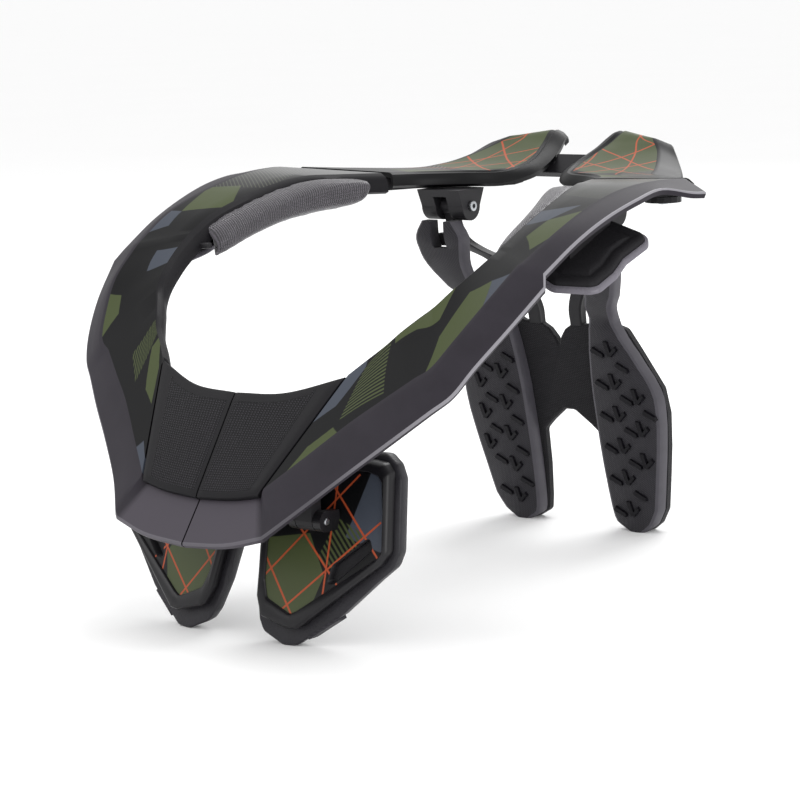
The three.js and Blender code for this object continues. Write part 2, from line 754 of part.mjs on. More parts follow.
function chestPlate() {
  const { x, y, z } = chestAxis;
  const ear = (side) => {
    const near = x + side * (knuckleHalf + clearance);
    const far = near + side * earWidth;
    const [x0, x1] = [near, far].sort((a, b) => a - b);
    const back = chestPlaneY(x, z, chestRecess + 1);
    return [
      rod(knuckleRadius, x0, x1, y, z),
      box(x0, x1, y, back, z - knuckleRadius, z + knuckleRadius - 1),
    ];
  };
  const hollow = cut(
    toSolid(chestSlab(chestFrameOutline, 0, chestFrameDepth)),
    chestSlab(chestArtOutline, -1, chestRecess),
    chestSlab(chestVentOutline, -1, chestFrameDepth + 1),
  );
  const eared = hollow.add(join(...ear(1), ...ear(-1)));
  const bore = rod(holeRadius(chestPinRadius), x - chestWidth / 4, x + chestWidth / 4, y, z);
  return fromSolid(cut(eared, bore));
}

function chestPad() {
  const start = chestFrameDepth + clearance;
  return chestSlab(chestPadOutline, start, start + chestPadDepth);
}

// The post that carries a chest plate from the front of the arm
function chestBracket() {
  const { x, y, z } = chestAxis;
  const solid = join(
    rod(knuckleRadius, x - knuckleHalf, x + knuckleHalf, y, z),
    box(x - knuckleHalf, x + knuckleHalf, y - knuckleRadius, y + 2, z, bodyHeight * 0.6),
  );
  const bore = rod(holeRadius(chestPinRadius), x - knuckleWidth, x + knuckleWidth, y, z);
  const ceiling = aboveShell(arm.slice(0, 9), () => chinPadDepth + clearance);
  return fromSolid(cut(solid, ceiling, bore));
}

function chestPin() {
  const reach = knuckleHalf + clearance + earWidth + 0.6;
  return rod(chestPinRadius, chestAxis.x - reach, chestAxis.x + reach, chestAxis.y, chestAxis.z);
}

addPair('arm_shell', armShell(), 'shell');
addPair('chin_pad', chinPad(), 'pad');
addPair('collar_pad', collarPad(), 'pad');
addPair('shoulder_pad', shoulderPad(), 'rubber');
addPair('shoulder_mount', shoulderMount(), 'nylon');
addPair('arm_lug', lug(armLugBottom, armFoot, aboveShell(arm, sinkOf)), 'nylon');
addPair('rear_lug', lug(rearLugBottom, rearFoot, aboveShell(flap, () => 0)), 'nylon');
addPair('arm_pin', armPin(), 'steel');
addPair('rear_flap', rearFlap(), 'flap');
addPair('rear_rail', rail(), 'nylon');
addMesh('rear_link', rearLink(), 'nylon');
addPair('hinge_bracket', hingeBracket(), 'nylon');
addPair('hinge_screw', hingeScrew(), 'steel');
addPair('thoracic_strut', thoracicStrut(), 'nylon');
addMesh('back_plate', backPlate(), 'pad');
addPair('back_pad', backPad(), 'rubber');
addPair('chest_bracket', chestBracket(), 'nylon');
addPair('chest_pin', chestPin(), 'steel');
addPair('chest_plate', chestPlate(), 'chest');
addPair('chest_pad', chestPad(), 'rubber');

export default brace;
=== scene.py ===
import math
import bpy
import bmesh
from mathutils import Matrix, Vector


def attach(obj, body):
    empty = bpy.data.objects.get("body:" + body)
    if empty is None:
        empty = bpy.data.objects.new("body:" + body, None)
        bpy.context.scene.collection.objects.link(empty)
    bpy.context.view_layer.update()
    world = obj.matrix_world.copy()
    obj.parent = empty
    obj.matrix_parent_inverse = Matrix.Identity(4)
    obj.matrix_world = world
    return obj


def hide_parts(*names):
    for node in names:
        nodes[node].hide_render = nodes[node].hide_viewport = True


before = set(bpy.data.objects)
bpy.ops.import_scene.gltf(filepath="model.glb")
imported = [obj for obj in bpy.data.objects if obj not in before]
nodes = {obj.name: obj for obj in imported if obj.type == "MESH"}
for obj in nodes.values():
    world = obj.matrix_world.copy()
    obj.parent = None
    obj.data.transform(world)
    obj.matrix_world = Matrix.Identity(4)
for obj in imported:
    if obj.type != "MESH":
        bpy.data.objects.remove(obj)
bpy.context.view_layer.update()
print("brace: frame loaded,", len(nodes), "nodes")

# Overall sizes of the brace, in metres
brace = {"halfWidth": 0.15, "length": 0.346, "height": 0.22, "seam": 0.0008, "wall": 0.003}


def place(x, y, z):
    seam = brace["seam"] / 2
    return Vector((seam + x * (brace["halfWidth"] - seam), (y - 0.5) * brace["length"],
                   z * brace["height"]))


# ---- camera and light
cameraView = {"at": (0.8172, -1.0270, 0.3111), "azimuth": 38.715, "elevation": 9.411, "roll": -1.84,
              "lens": 117.0}


def addCamera():
    az, el, roll = (math.radians(cameraView[k]) for k in ("azimuth", "elevation", "roll"))
    level = Vector((math.cos(az), math.sin(az), 0))
    ahead = Vector((-math.sin(az) * math.cos(el), math.cos(az) * math.cos(el), -math.sin(el)))
    upright = level.cross(ahead)
    right = level * math.cos(roll) + upright * math.sin(roll)
    up = right.cross(ahead)
    data = bpy.data.cameras.new("photoCamera")
    data.lens, data.sensor_width = cameraView["lens"], 36.0
    data.clip_start, data.clip_end = 0.05, 200
    cam = bpy.data.objects.new("photoCamera", data)
    bpy.context.scene.collection.objects.link(cam)
    turn = Matrix((right, up, -ahead)).transposed().to_4x4()
    cam.matrix_world = Matrix.Translation(cameraView["at"]) @ turn
    bpy.context.scene.camera = cam


studio = {"world": 1.0, "floor": 0.955,
          "lamps": [("key", (-0.9, -1.2, 1.5), 1.0, 8), ("side", (1.6, -0.4, 0.7), 0.7, 7),
                    ("back", (-0.2, 1.4, 1.4), 1.1, 17)]}


def addLamps():
    for name, at, size, power in studio["lamps"]:
        data = bpy.data.lights.new(name, "AREA")
        data.shape, data.size, data.energy = "SQUARE", size, power
        lamp = bpy.data.objects.new(name, data)
        lamp.location = at
        lamp.rotation_euler = (Vector((0, 0, 0.1)) - Vector(at)).to_track_quat("-Z", "Y").to_euler()
        bpy.context.scene.collection.objects.link(lamp)
    world = bpy.data.worlds.new("studioWorld")
    bpy.context.scene.world = world
    world.use_nodes = True
    world.node_tree.nodes["Background"].inputs["Color"].default_value = (1, 1, 1, 1)
    world.node_tree.nodes["Background"].inputs["Strength"].default_value = studio["world"]
    bpy.context.scene.view_settings.view_transform = "Standard"


addCamera()
addLamps()
print("brace: camera and lamps set")


# ---- shader wiring
class Wire:
    # one output socket, with the sums that the patterns use
    def __init__(self, look, socket):
        self.look, self.socket = look, socket

    def maths(self, kind, *values, clamp=False):
        return self.look.node("ShaderNodeMath", {"operation": kind, "use_clamp": clamp},
                              dict(enumerate(values)))

    def __add__(self, other): return self.maths("ADD", self, other)
    def __radd__(self, other): return self.maths("ADD", other, self)
    def __sub__(self, other): return self.maths("SUBTRACT", self, other)
    def __rsub__(self, other): return self.maths("SUBTRACT", other, self)
    def __mul__(self, other): return self.maths("MULTIPLY", self, other)
    def __rmul__(self, other): return self.maths("MULTIPLY", other, self)
    def __truediv__(self, other): return self.maths("DIVIDE", self, other)
    def clip(self): return self.maths("ADD", self, 0.0, clamp=True)
    def over(self, limit, soft):
        return self.maths("MULTIPLY_ADD", self, 1 / soft, 0.5 - limit / soft, clamp=True)

    def sine(self): return self.maths("SINE", self)
    def size(self): return self.maths("ABSOLUTE", self)
    def both(self, other): return self.maths("MINIMUM", self, other)
    def either(self, other): return self.maths("MAXIMUM", self, other)


class Look:
    def __init__(self, name, **fixed):
        self.material = bpy.data.materials.new(name)
        self.material.use_nodes = True
        self.tree = self.material.node_tree
        self.shader = self.tree.nodes["Principled BSDF"]
        for socket, value in fixed.items():
            self.shader.inputs[socket.replace("_", " ")].default_value = value

    def node(self, kind, settings=None, inputs=None, out=0):
        made = self.tree.nodes.new(kind)
        for key, value in (settings or {}).items():
            setattr(made, key, value)
        for key, value in (inputs or {}).items():
            if isinstance(value, Wire):
                self.tree.links.new(value.socket, made.inputs[key])
            elif value is not None:
                made.inputs[key].default_value = value
        return Wire(self, made.outputs[out])

    def plan(self):
        return self.node("ShaderNodeTexCoord", out="Object")

    def chart(self, name="chart"):
        return self.split(self.node("ShaderNodeUVMap", {"uv_map": name}))[:2]

    def split(self, wire):
        made = self.tree.nodes.new("ShaderNodeSeparateXYZ")
        self.tree.links.new(wire.socket, made.inputs[0])
        return [Wire(self, out) for out in made.outputs]

    def mapped(self, wire, scale=(1, 1, 1), turn=(0, 0, 0)):
        return self.node("ShaderNodeMapping", None, {"Vector": wire, "Scale": scale, "Rotation": turn})

    def noise(self, wire, scale, detail=3):
        return self.node("ShaderNodeTexNoise", None,
                         {"Vector": wire, "Scale": scale, "Detail": detail, "Roughness": 0.55})

    def cells(self, wire, scale):
        return self.node("ShaderNodeTexVoronoi", None, {"Vector": wire, "Scale": scale}, "Distance")

    def mix(self, mask, a, b):
        made = self.tree.nodes.new("ShaderNodeMix")
        made.data_type = "RGBA"
        for socket, value in ((made.inputs[0], mask), (made.inputs[6], a), (made.inputs[7], b)):
            if isinstance(value, Wire):
                self.tree.links.new(value.socket, socket)
            else:
                socket.default_value = (*value, 1) if isinstance(value, tuple) else value
        return Wire(self, made.outputs[2])

    def patch(self, u, v, corners, soft=0.35):
        # 1 inside a convex outline given anticlockwise, in the chart's millimetres
        inside = None
        for (ax, ay), (bx, by) in zip(corners, corners[1:] + corners[:1]):
            length = math.hypot(bx - ax, by - ay)
            nx, ny = -(by - ay) / length, (bx - ax) / length
            side = u * (nx / soft) + (v * (ny / soft) + (0.5 - (nx * ax + ny * ay) / soft))
            inside = side if inside is None else inside.both(side)
        return inside.clip()

    def stroke(self, u, v, a, b, width):
        # a straight printed line
        dx, dy = b[0] - a[0], b[1] - a[1]
        half = width / 2 / math.hypot(dx, dy)
        nx, ny = -dy * half, dx * half
        return self.patch(u, v, [(a[0] - nx, a[1] - ny), (b[0] - nx, b[1] - ny), (b[0] + nx, b[1] + ny),
                                 (a[0] + nx, a[1] + ny)])

    def many(self, masks):
        total = masks[0]
        for mask in masks[1:]:
            total = total.either(mask)
        return total

    def hatch(self, u, v, pitch, turn, share=0.5):
        c, s = math.cos(turn) / pitch, math.sin(turn) / pitch
        along = (u * c + v * s) * (2 * math.pi)
        return along.sine().over(math.cos(math.pi * share), 0.5)

    def wire(self, color=None, rough=None, bump=None, depth=0.0002, strength=1.0, coat=None):
        for socket, value in (("Base Color", color), ("Roughness", rough), ("Coat Weight", coat)):
            if isinstance(value, Wire):
                self.tree.links.new(value.socket, self.shader.inputs[socket])
        if bump is not None:
            made = self.tree.nodes.new("ShaderNodeBump")
            made.inputs["Strength"].default_value = strength
            made.inputs["Distance"].default_value = depth
            self.tree.links.new(bump.socket, made.inputs["Height"])
            self.tree.links.new(made.outputs[0], self.shader.inputs["Normal"])
        return self.material


def hexColor(text):
    return tuple(((int(text[i:i + 2], 16) / 255 + 0.055) / 1.055) ** 2.4 for i in (0, 2, 4))


inks = {"black": hexColor("09090b"), "charcoal": hexColor("2d2a30"), "nose": hexColor("47434a"),
        "olive": hexColor("424a2d"), "slate": hexColor("40454f"),
        "orange": hexColor("a94a2a"), "greyHatch": hexColor("55544f"), "paleHatch": hexColor("4f5246"),
        # lip: pale grey painted highlight for the skirts' lower edge
        "lip": hexColor("98969c")}

# Convex outlines of the printed patches, anticlockwise in millimetres along and across the arm
armPrint = {
    "left": {
        "olive": [[(58, -2), (84, -2), (76, 10), (64, 12)],
                  [(118, -2), (152, -2), (164, 12), (150, 22), (128, 16)],
                  [(98, 34), (128, 27), (142, 36), (134, 50), (92, 50)],
                  [(188, 6), (204, -2), (226, -2), (214, 16), (196, 18)]],
        "slate": [[(50, 40), (66, 32), (74, 44), (60, 74), (46, 74)], [(152, -2), (176, -2), (164, 12)],
                  [(214, 16), (232, 8), (226, 30), (206, 30)]],
        "hatch": [[(78, 12), (100, 6), (92, 46), (74, 44)]],
        "pale": [[(238, -2), (290, -2), (296, 34), (250, 30)]],
    },
    "right": {
        "olive": [[(56, 34), (70, 26), (80, 38), (72, 54), (56, 54)],
                  [(122, -2), (150, -2), (142, 10), (130, 12)],
                  [(206, 8), (236, 0), (244, 16), (216, 32)]],
        "slate": [[(50, -2), (66, -2), (56, 14), (48, 10)], [(150, 22), (168, 18), (162, 38), (146, 40)],
                  [(186, -2), (206, -2), (206, 8), (192, 10)]],
        "hatch": [[(84, 14), (98, 16), (94, 48), (80, 46)]],
        "pale": [[(236, -2), (286, -2), (292, 30), (246, 34)]],
    },
}


def shellLook(side):
    look = Look("printedShell_" + side, Specular_IOR_Level=0.13, Coat_Roughness=0.22)
    u, v = look.chart()
    plan = look.plan()
    zone, lip = look.chart("zone")
    face, roll, lip = zone.over(0.75, 0.02), zone.over(0.25, 0.02), lip.over(0.5, 0.02)
    olive, slate, hatch, pale = (look.many([look.patch(u, v, c) for c in armPrint[side][k]])
                                 for k in ("olive", "slate", "hatch", "pale"))
    stripes = hatch * look.hatch(u, v, 2.3, 1.3 if side == "left" else -0.7)
    cloud = look.noise(plan, 60, 4)
    ink = look.mix(olive, inks["black"], inks["olive"])
    ink = look.mix(slate, ink, inks["slate"])
    ink = look.mix(stripes, ink, inks["olive"])
    ink = look.mix(pale * look.hatch(u, v, 2.0, 0.75, 0.3) * 0.6, ink, inks["paleHatch"])
    wall = look.mix(cloud.over(0.5, 0.6), tuple(c * 0.85 for c in inks["charcoal"]),
                    tuple(c * 1.15 for c in inks["charcoal"]))
    wall = look.mix(1 - u.over(46, 5), wall, inks["nose"])
    wall = look.mix(roll, wall, hexColor("18171a"))
    # painted highlight: a pale grey line along the skirts' lower edge, faint at the front and stronger
    # towards the rear
    wall = look.mix(lip * (0.18 + u.over(95, 50) * 0.6), wall, inks["lip"])
    color = look.mix(face, wall, ink)
    grain = look.noise(plan, 2600, 2)
    rough = 0.47 + cloud * 0.08 - face * 0.1 - lip * 0.2 + (grain - 0.5) * 0.05
    glare = face * u.over(262, 60) * 0.5
    return look.wire(color, rough, grain * (1 - face * 0.6), 0.0001, 0.3, glare)


def nylonLook(name, color, rough=0.5, shine=0.28):
    look = Look(name, Specular_IOR_Level=shine)
    plan = look.plan()
    cloud, grain = look.noise(plan, 90, 4), look.noise(plan, 1800, 2)
    tone = look.mix(cloud.over(0.5, 0.7), tuple(c * 0.82 for c in color), tuple(c * 1.18 for c in color))
    return look.wire(tone, rough - 0.06 + cloud * 0.12, grain + cloud * 0.4, 0.00015, 0.4)


def steelLook():
    look = Look("screwSteel", Metallic=1.0)
    plan = look.plan()
    scratch = look.noise(look.mapped(plan, (300, 3000, 3000)), 1, 2)
    tone = look.mix(scratch, hexColor("8f9296"), hexColor("c9ccd0"))
    return look.wire(tone, 0.2 + scratch * 0.15, scratch, 0.00003, 0.3)


def dimpleLook():
    # moulded dimples inside a smooth border
    look = Look("dimpledPad", Specular_IOR_Level=0.18)
    u, v = look.chart()
    zone = look.chart("zone")[0]
    inside = zone.over(0.5, 0.3)
    pitch = 2 * math.pi / 1.7
    knobs = ((u + v) * (pitch * 0.7071)).sine() * ((u - v) * (pitch * 0.7071)).sine()
    peaks = knobs.over(0.1, 0.7)
    grain = look.noise(look.plan(), 1500, 2)
    # painted highlight and shade: the knob tops are painted lighter than the dimples between them
    tone = look.mix(peaks * inside, hexColor("09080b"), hexColor("2c2a2f"))
    tone = look.mix(1 - inside, tone, hexColor("151417"))
    return look.wire(tone, 0.52 - inside * 0.04 + (grain - 0.5) * 0.1, peaks * inside + grain * 0.1,
                     0.0007, 1.0)


def clothLook(name, dark, light, pitch=0.9, turn=0.78, depth=0.0003, rough=0.85):
    # woven cover: threads run both ways across the surface
    look = Look(name, Specular_IOR_Level=0.2, Sheen_Weight=0.12, Sheen_Roughness=0.5)
    plan = look.plan()
    turned = look.mapped(plan, (1, 1, 1), (turn, turn * 0.6, turn))
    x, y, z = look.split(turned)
    wave = 2 * math.pi / (pitch / 1000)
    threads = ((x + z * 0.4) * wave).sine() * ((y + z * 0.6) * wave).sine()
    cloud = look.noise(plan, 120, 3)
    tone = look.mix(threads.over(0.0, 1.4), dark, light)
    tone = look.mix(cloud.over(0.5, 0.6) * 0.35, tone, tuple(c * 0.7 for c in dark))
    return look.wire(tone, rough - 0.05 + cloud * 0.1, threads * 0.5 + cloud * 0.3, depth, 0.7)


def weaveLook():
    # knitted cover of the collar pads: slanted stitches in rows round the pad
    look = Look("collarWeave", Specular_IOR_Level=0.6, Sheen_Weight=0.2, Sheen_Roughness=0.3)
    u, v = look.chart()
    rows = 2 * math.pi / 2.1
    slant = (v * rows).sine().size() * 0.55
    stitch = ((u + slant) * (2 * math.pi / 1.25)).sine().over(0.0, 1.2)
    gap = (v * (rows / 2)).sine().size().over(0.16, 0.3)
    cloud = look.noise(look.plan(), 110, 3)
    threads = stitch.both(gap)
    tone = look.mix(threads, hexColor("151417"), hexColor("6a656e"))
    tone = look.mix(cloud.over(0.5, 0.6) * 0.3, tone, hexColor("161518"))
    return look.wire(tone, 0.32 + cloud * 0.12, threads + cloud * 0.2, 0.0004, 0.9)


def foamLook(name, color, speck=0.35, rough=0.72):
    look = Look(name, Specular_IOR_Level=0.25)
    plan = look.plan()
    specks = look.cells(plan, 900).over(0.35, 0.5)
    cloud = look.noise(plan, 80, 4)
    tone = look.mix(specks * speck, color, tuple(c * 1.9 for c in color))
    tone = look.mix(cloud.over(0.55, 0.4) * 0.5, tone, tuple(c * 0.75 for c in color))
    return look.wire(tone, rough - 0.1 + cloud * 0.2, specks * 0.6 + cloud, 0.00018, 0.5)


# Thin printed lines on the flaps and the chest plates, from end to end in millimetres
linePrint = {
    "width": 0.9,
    "flap": [((42, -4), (98, 52)), ((60, -4), (122, 46)), ((88, -4), (60, 54)), ((108, -4), (74, 54)),
             ((48, 24), (128, 8)),
             ((64, 52), (128, 24)), ((98, -4), (130, 22))],
    "chest": [((12, 44), (40, 10)), ((12, 72), (72, 18)), ((20, 8), (76, 60)), ((12, 26), (60, 80)),
              ((42, 8), (86, 46)),
              ((34, 86), (86, 36)), ((52, 8), (48, 84))],
}


def flapLook():
    look = Look("printedFlap", Specular_IOR_Level=0.2)
    u, v = look.chart()
    zone = look.chart("zone")[0]
    face = zone.over(0.75, 0.02)
    lines = look.many([look.stroke(u, v, a, b, linePrint["width"]) for a, b in linePrint["flap"]])
    gauze = look.patch(u, v, [(36, -10), (74, -10), (60, 18), (30, 26)]) * look.hatch(u, v, 2.2, 0.9)
    cloud = look.noise(look.plan(), 60, 4)
    olive = look.many([look.patch(u, v, c) for c in ([(66, -6), (140, -6), (140, 60), (92, 60), (58, 34)],
                                                     [(26, 20), (46, 34), (34, 60), (10, 60)])])
    ink = look.mix(olive, inks["black"], inks["olive"])
    ink = look.mix(gauze, ink, inks["greyHatch"])
    ink = look.mix(lines, ink, inks["orange"])
    color = look.mix(face, inks["black"], ink)
    return look.wire(color, 0.4 + cloud * 0.08 - face * 0.06, cloud, 0.0001, 0.2)


def chestLook():
    look = Look("printedChest", Specular_IOR_Level=0.3)
    u, v = look.chart()
    zone = look.chart("zone")[0]
    face = zone.over(0.75, 0.02)
    olive = look.many([look.patch(u, v, c) for c in ([(14, 10), (44, 14), (50, 34), (38, 52), (14, 48)],)])
    slate = look.patch(u, v, [(58, 52), (82, 46), (80, 82), (66, 82)])
    gauze = look.patch(u, v, [(44, 40), (60, 36), (68, 54), (52, 60)]) * look.hatch(u, v, 2.2, 0.8)
    lines = look.many([look.stroke(u, v, a, b, linePrint["width"]) for a, b in linePrint["chest"]])
    cloud = look.noise(look.plan(), 70, 4)
    ink = look.mix(olive, inks["black"], inks["olive"])
    ink = look.mix(slate, ink, inks["slate"])
    ink = look.mix(gauze, ink, inks["olive"])
    ink = look.mix(lines, ink, inks["orange"])
    rim = look.mix(cloud.over(0.5, 0.6), hexColor("121114"), hexColor("1c1b1e"))
    color = look.mix(face, rim, ink)
    return look.wire(color, 0.32 + cloud * 0.08, cloud, 0.0001, 0.2)


looks = {
    "shell_left": shellLook("left"),
    "shell_right": shellLook("right"),
    "flap": flapLook(),
    "chest": chestLook(),
    "nylon": nylonLook("mouldedNylon", hexColor("1d1c1f")),
    "steel": steelLook(),
    "dimples": dimpleLook(),
    "weave": weaveLook(),
    "plateCloth": clothLook("backPlateCloth", hexColor("0f0e11"), hexColor("222125"), 1.1),
    "tread": clothLook("backPadTextile", hexColor("19181c"), hexColor("323036"), 1.0, 0.4, 0.0002, 0.6),
    # the back pads' sides and bevels: a lighter grey than their face, a painted highlight
    "bandHighlight": nylonLook("padBandHighlight", hexColor("48464c"), 0.45),
    "marks": nylonLook("treadMarks", hexColor("121115"), 0.28, shine=0.15),
    "foam": foamLook("speckledFoam", hexColor("19181b")),
    "rimRubber": foamLook("padRubber", hexColor("262529"), 0.2, 0.42),
    # the shoulder pads' flange: light grey, a painted highlight along the lower rim
    "flangeHighlight": nylonLook("padFlangeHighlight", hexColor("6f6c74"), 0.28),
    "strap": clothLook("strapWeave", hexColor("252428"), hexColor("413f45"), 0.8),
}
print("brace: materials wired")


# ---- mesh helpers
def growRings(bm, rings):
    # a few vertices first, then their edges are extruded from ring to ring and both ends are capped
    line = [bm.verts.new(p) for p in rings[0]]
    grid = [line]
    edges = [bm.edges.new(pair) for pair in zip(line, line[1:] + line[:1])]
    firstEdges = edges
    for ring in rings[1:]:
        made = bmesh.ops.extrude_edge_only(bm, edges=edges)["geom"]
        fresh = {g for g in made if isinstance(g, bmesh.types.BMVert)}
        line = [next(e.other_vert(v) for e in v.link_edges if e.other_vert(v) in fresh) for v in line]
        for vert, p in zip(line, ring):
            vert.co = p
        grid.append(line)
        edges = [bm.edges.get(pair) for pair in zip(line, line[1:] + line[:1])]
    bmesh.ops.contextual_create(bm, geom=firstEdges)
    bmesh.ops.contextual_create(bm, geom=edges)
    return grid


def chartGrid(bm, grid, name, value):
    layer = bm.loops.layers.uv.get(name) or bm.loops.layers.uv.new(name)
    where = {v: (i, j) for i, line in enumerate(grid) for j, v in enumerate(line)}
    for f in bm.faces:
        for loop in f.loops:
            if loop.vert in where:
                loop[layer].uv = value(*where[loop.vert])


def finishMesh(bm, name, sharp=32, flip=False):
    if flip:
        bmesh.ops.scale(bm, vec=(-1, 1, 1), verts=bm.verts)
    bmesh.ops.recalc_face_normals(bm, faces=bm.faces)
    limit = math.radians(sharp)
    for f in bm.faces:
        f.smooth = True
    for e in bm.edges:
        e.smooth = len(e.link_faces) != 2 or e.calc_face_angle(0) < limit
    mesh = bpy.data.meshes.new(name)
    bm.to_mesh(mesh)
    return mesh


def addPiece(name, mesh, materials, body, replaced=()):
    piece = bpy.data.objects.new(name, mesh)
    bpy.context.scene.collection.objects.link(piece)
    for material in materials:
        mesh.materials.append(material)
    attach(piece, body)
    if replaced:
        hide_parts(*replaced)
    return piece


def addPair(name, bm, lookNames, body, replaced, sharp=32):
    # the left piece as it is and the right one mirrored; body may hold {side}
    made = []
    for side in ("left", "right"):
        copy = bm.copy()
        mesh = finishMesh(copy, f"{name}_{side}", sharp, side == "right")
        copy.free()
        materials = [looks[n.format(side=side)] for n in lookNames]
        made.append(addPiece(f"{name}_{side}", mesh, materials, body.format(side=side),
                             [n.format(side=side) for n in replaced]))
    bm.free()
    return made


def spline(points, steps, sharp=()):
    # smooth curve through the points, with corners kept at the sharp ones
    out = []
    last = len(points) - 1
    for i in range(last):
        a, b = points[i], points[i + 1]
        ta = (b - a) if i == 0 or i in sharp else (b - points[i - 1]) * 0.5
        tb = (b - a) if i + 1 == last or i + 1 in sharp else (points[i + 2] - a) * 0.5
        count = 1 if i in sharp and i + 1 in sharp else steps
        for k in range(count):
            t = k / count
            out.append(a * (2 * t**3 - 3 * t**2 + 1) + ta * (t**3 - 2 * t**2 + t)
                       + b * (3 * t**2 - 2 * t**3) + tb * (t**3 - t**2))
    return out + [points[last].copy()]


def downward(a, b, along):
    return (b - a).cross(along).normalized()


# ---- arm shell: rows as in the frame
armShell = {
    "sink": 0.0034, "rollIn": 0.004, "rollDrop": 0.010, "lip": 0.0009, "round": 0.0009, "steps": 5,
    "sharp": (2, 3, 7, 11, 12),
    # rimX, rimY, rimZ, edgeX, edgeY, edgeZ, hemX, hemY, hemZ, sunk
    "rows": [
        (0.0, 0.032, 0.327, 0.0, 0.12, 0.532, 0.0, 0.0, 0.233, 1),
        (0.133, 0.034, 0.333, 0.187, 0.128, 0.539, 0.167, 0.003, 0.242, 1),
        (0.239, 0.039, 0.345, 0.381, 0.155, 0.576, 0.305, 0.012, 0.265, 1),
        (0.252, 0.043, 0.353, 0.393, 0.16, 0.584, 0.319, 0.016, 0.272, 0),
        (0.353, 0.075, 0.414, 0.433, 0.175, 0.611, 0.411, 0.055, 0.332, 0),
        (0.466, 0.11, 0.483, 0.48, 0.19, 0.641, 0.527, 0.092, 0.403, 0),
        (0.56, 0.134, 0.532, 0.513, 0.206, 0.668, 0.633, 0.123, 0.465, 0),
        (0.651, 0.158, 0.579, 0.547, 0.224, 0.693, 0.72, 0.151, 0.517, 0),
        (0.699, 0.167, 0.602, 0.581, 0.242, 0.717, 0.775, 0.169, 0.55, 0),
        (0.741, 0.195, 0.656, 0.607, 0.267, 0.748, 0.819, 0.195, 0.605, 0),
        (0.788, 0.239, 0.728, 0.633, 0.305, 0.784, 0.871, 0.24, 0.676, 0),
        (0.813, 0.298, 0.797, 0.65, 0.345, 0.818, 0.915, 0.296, 0.754, 0),
        (0.819, 0.306, 0.802, 0.652, 0.351, 0.823, 0.895, 0.309, 0.78, 0),
        (0.838, 0.377, 0.858, 0.654, 0.396, 0.856, 0.907, 0.377, 0.837, 0),
        (0.836, 0.444, 0.894, 0.641, 0.447, 0.883, 0.917, 0.443, 0.879, 0),
        (0.835, 0.512, 0.92, 0.617, 0.512, 0.91, 0.929, 0.51, 0.909, 0),
        (0.847, 0.573, 0.933, 0.577, 0.573, 0.926, 0.931, 0.571, 0.924, 0),
        (0.867, 0.631, 0.936, 0.52, 0.631, 0.924, 0.98, 0.614, 0.911, 0),
        (0.879, 0.664, 0.934, 0.447, 0.698, 0.92, 1.0, 0.637, 0.908, 0),
    ],
}


def bevelEdges(bm, edges, width, segments=2):
    bmesh.ops.bevel(bm, geom=edges, offset=width, offset_type="OFFSET", affect="EDGES", segments=segments,
                    profile=0.5, material=-1, clamp_overlap=True)


def insetLoop(points, inset):
    # each side of an anticlockwise outline moved inward, corners mitred
    out = []
    for i, p in enumerate(points):
        a, b = points[i - 1], points[(i + 1) % len(points)]
        d1, d2 = (p - a).normalized(), (b - p).normalized()
        n1, n2 = Vector((-d1.y, d1.x)), Vector((-d2.y, d2.x))
        out.append(p + (n1 + n2) * (inset / (1 + n1.dot(n2))))
    return out


def roundLoop(points, radius, segments=4):
    # corners turned into arcs of equal point counts, so that loops can be joined
    out = []
    for i, p in enumerate(points):
        a, b = points[i - 1] - p, points[(i + 1) % len(points)] - p
        d1, d2 = a.normalized(), b.normalized()
        half = d1.angle(d2) / 2
        reach = min(radius / math.tan(half) if half > 0.01 else radius, 0.45 * a.length, 0.45 * b.length)
        r = reach * math.tan(half)
        start, end = p + d1 * reach, p + d2 * reach
        if half > 1.54:
            out += [start.lerp(end, k / segments) for k in range(segments + 1)]
            continue
        centre = p + (d1 + d2).normalized() * (r / math.sin(half))
        out += [centre + (start - centre).lerp(end - centre, k / segments).normalized() * r
                for k in range(segments + 1)]
    return out


def outlineLoop(shares, width, height, inset, radius, segments=4):
    points = [Vector((x * width, y * height)) for x, y in shares]
    area = sum(a.cross(b) for a, b in zip(points, points[1:] + points[:1]))
    if area < 0:
        points = points[::-1]
    return roundLoop(insetLoop(points, inset) if inset else points, max(radius - inset, radius * 0.35),
                     segments)


def addBar(bm, outline, base, top, inset, spot, material):
    # a small raised mark with sloping sides; spot turns plane places and a height into a point
    loops = [outline, outline, insetLoop(outline, inset)]
    heights = (base, base + (top - base) * 0.3, top)
    rings = [[spot(p.x, p.y, h) for p in loop] for loop, h in zip(loops, heights)]
    before = set(bm.faces)
    growRings(bm, rings)
    for f in set(bm.faces) - before:
        f.material_index = material


def stationsOf(rows, steps, sharp, first=None):
    # rim, edge, hem (and roll) of each station, with its direction
    count = len(rows[0]) // 3
    columns = [spline([place(*row[3 * c:3 * c + 3]) for row in rows], steps, sharp) for c in range(count)]
    keys = ["rim", "edge", "hem", "roll"][:count]
    stations = [dict(zip(keys, values)) for values in zip(*columns)]
    for i, s in enumerate(stations):
        a, b = stations[max(i - 1, 0)], stations[min(i + 1, len(stations) - 1)]
        s["along"] = (((b["rim"] + b["edge"]) - (a["rim"] + a["edge"])) * 0.5).normalized()
        if i == 0 and first:
            s["along"] = first
        s["under"] = downward(s["rim"], s["edge"], s["along"])
        s["inward"] = Vector((0, 0, 1)).cross(s["along"]).normalized()
    return stations


def rowFlags(rows, steps, sharp):
    out = []
    for i in range(len(rows) - 1):
        count = 1 if i in sharp and i + 1 in sharp else steps
        out += [rows[i][9] + (rows[i + 1][9] - rows[i][9]) * k / count for k in range(count)]
    return out + [rows[-1][9]]


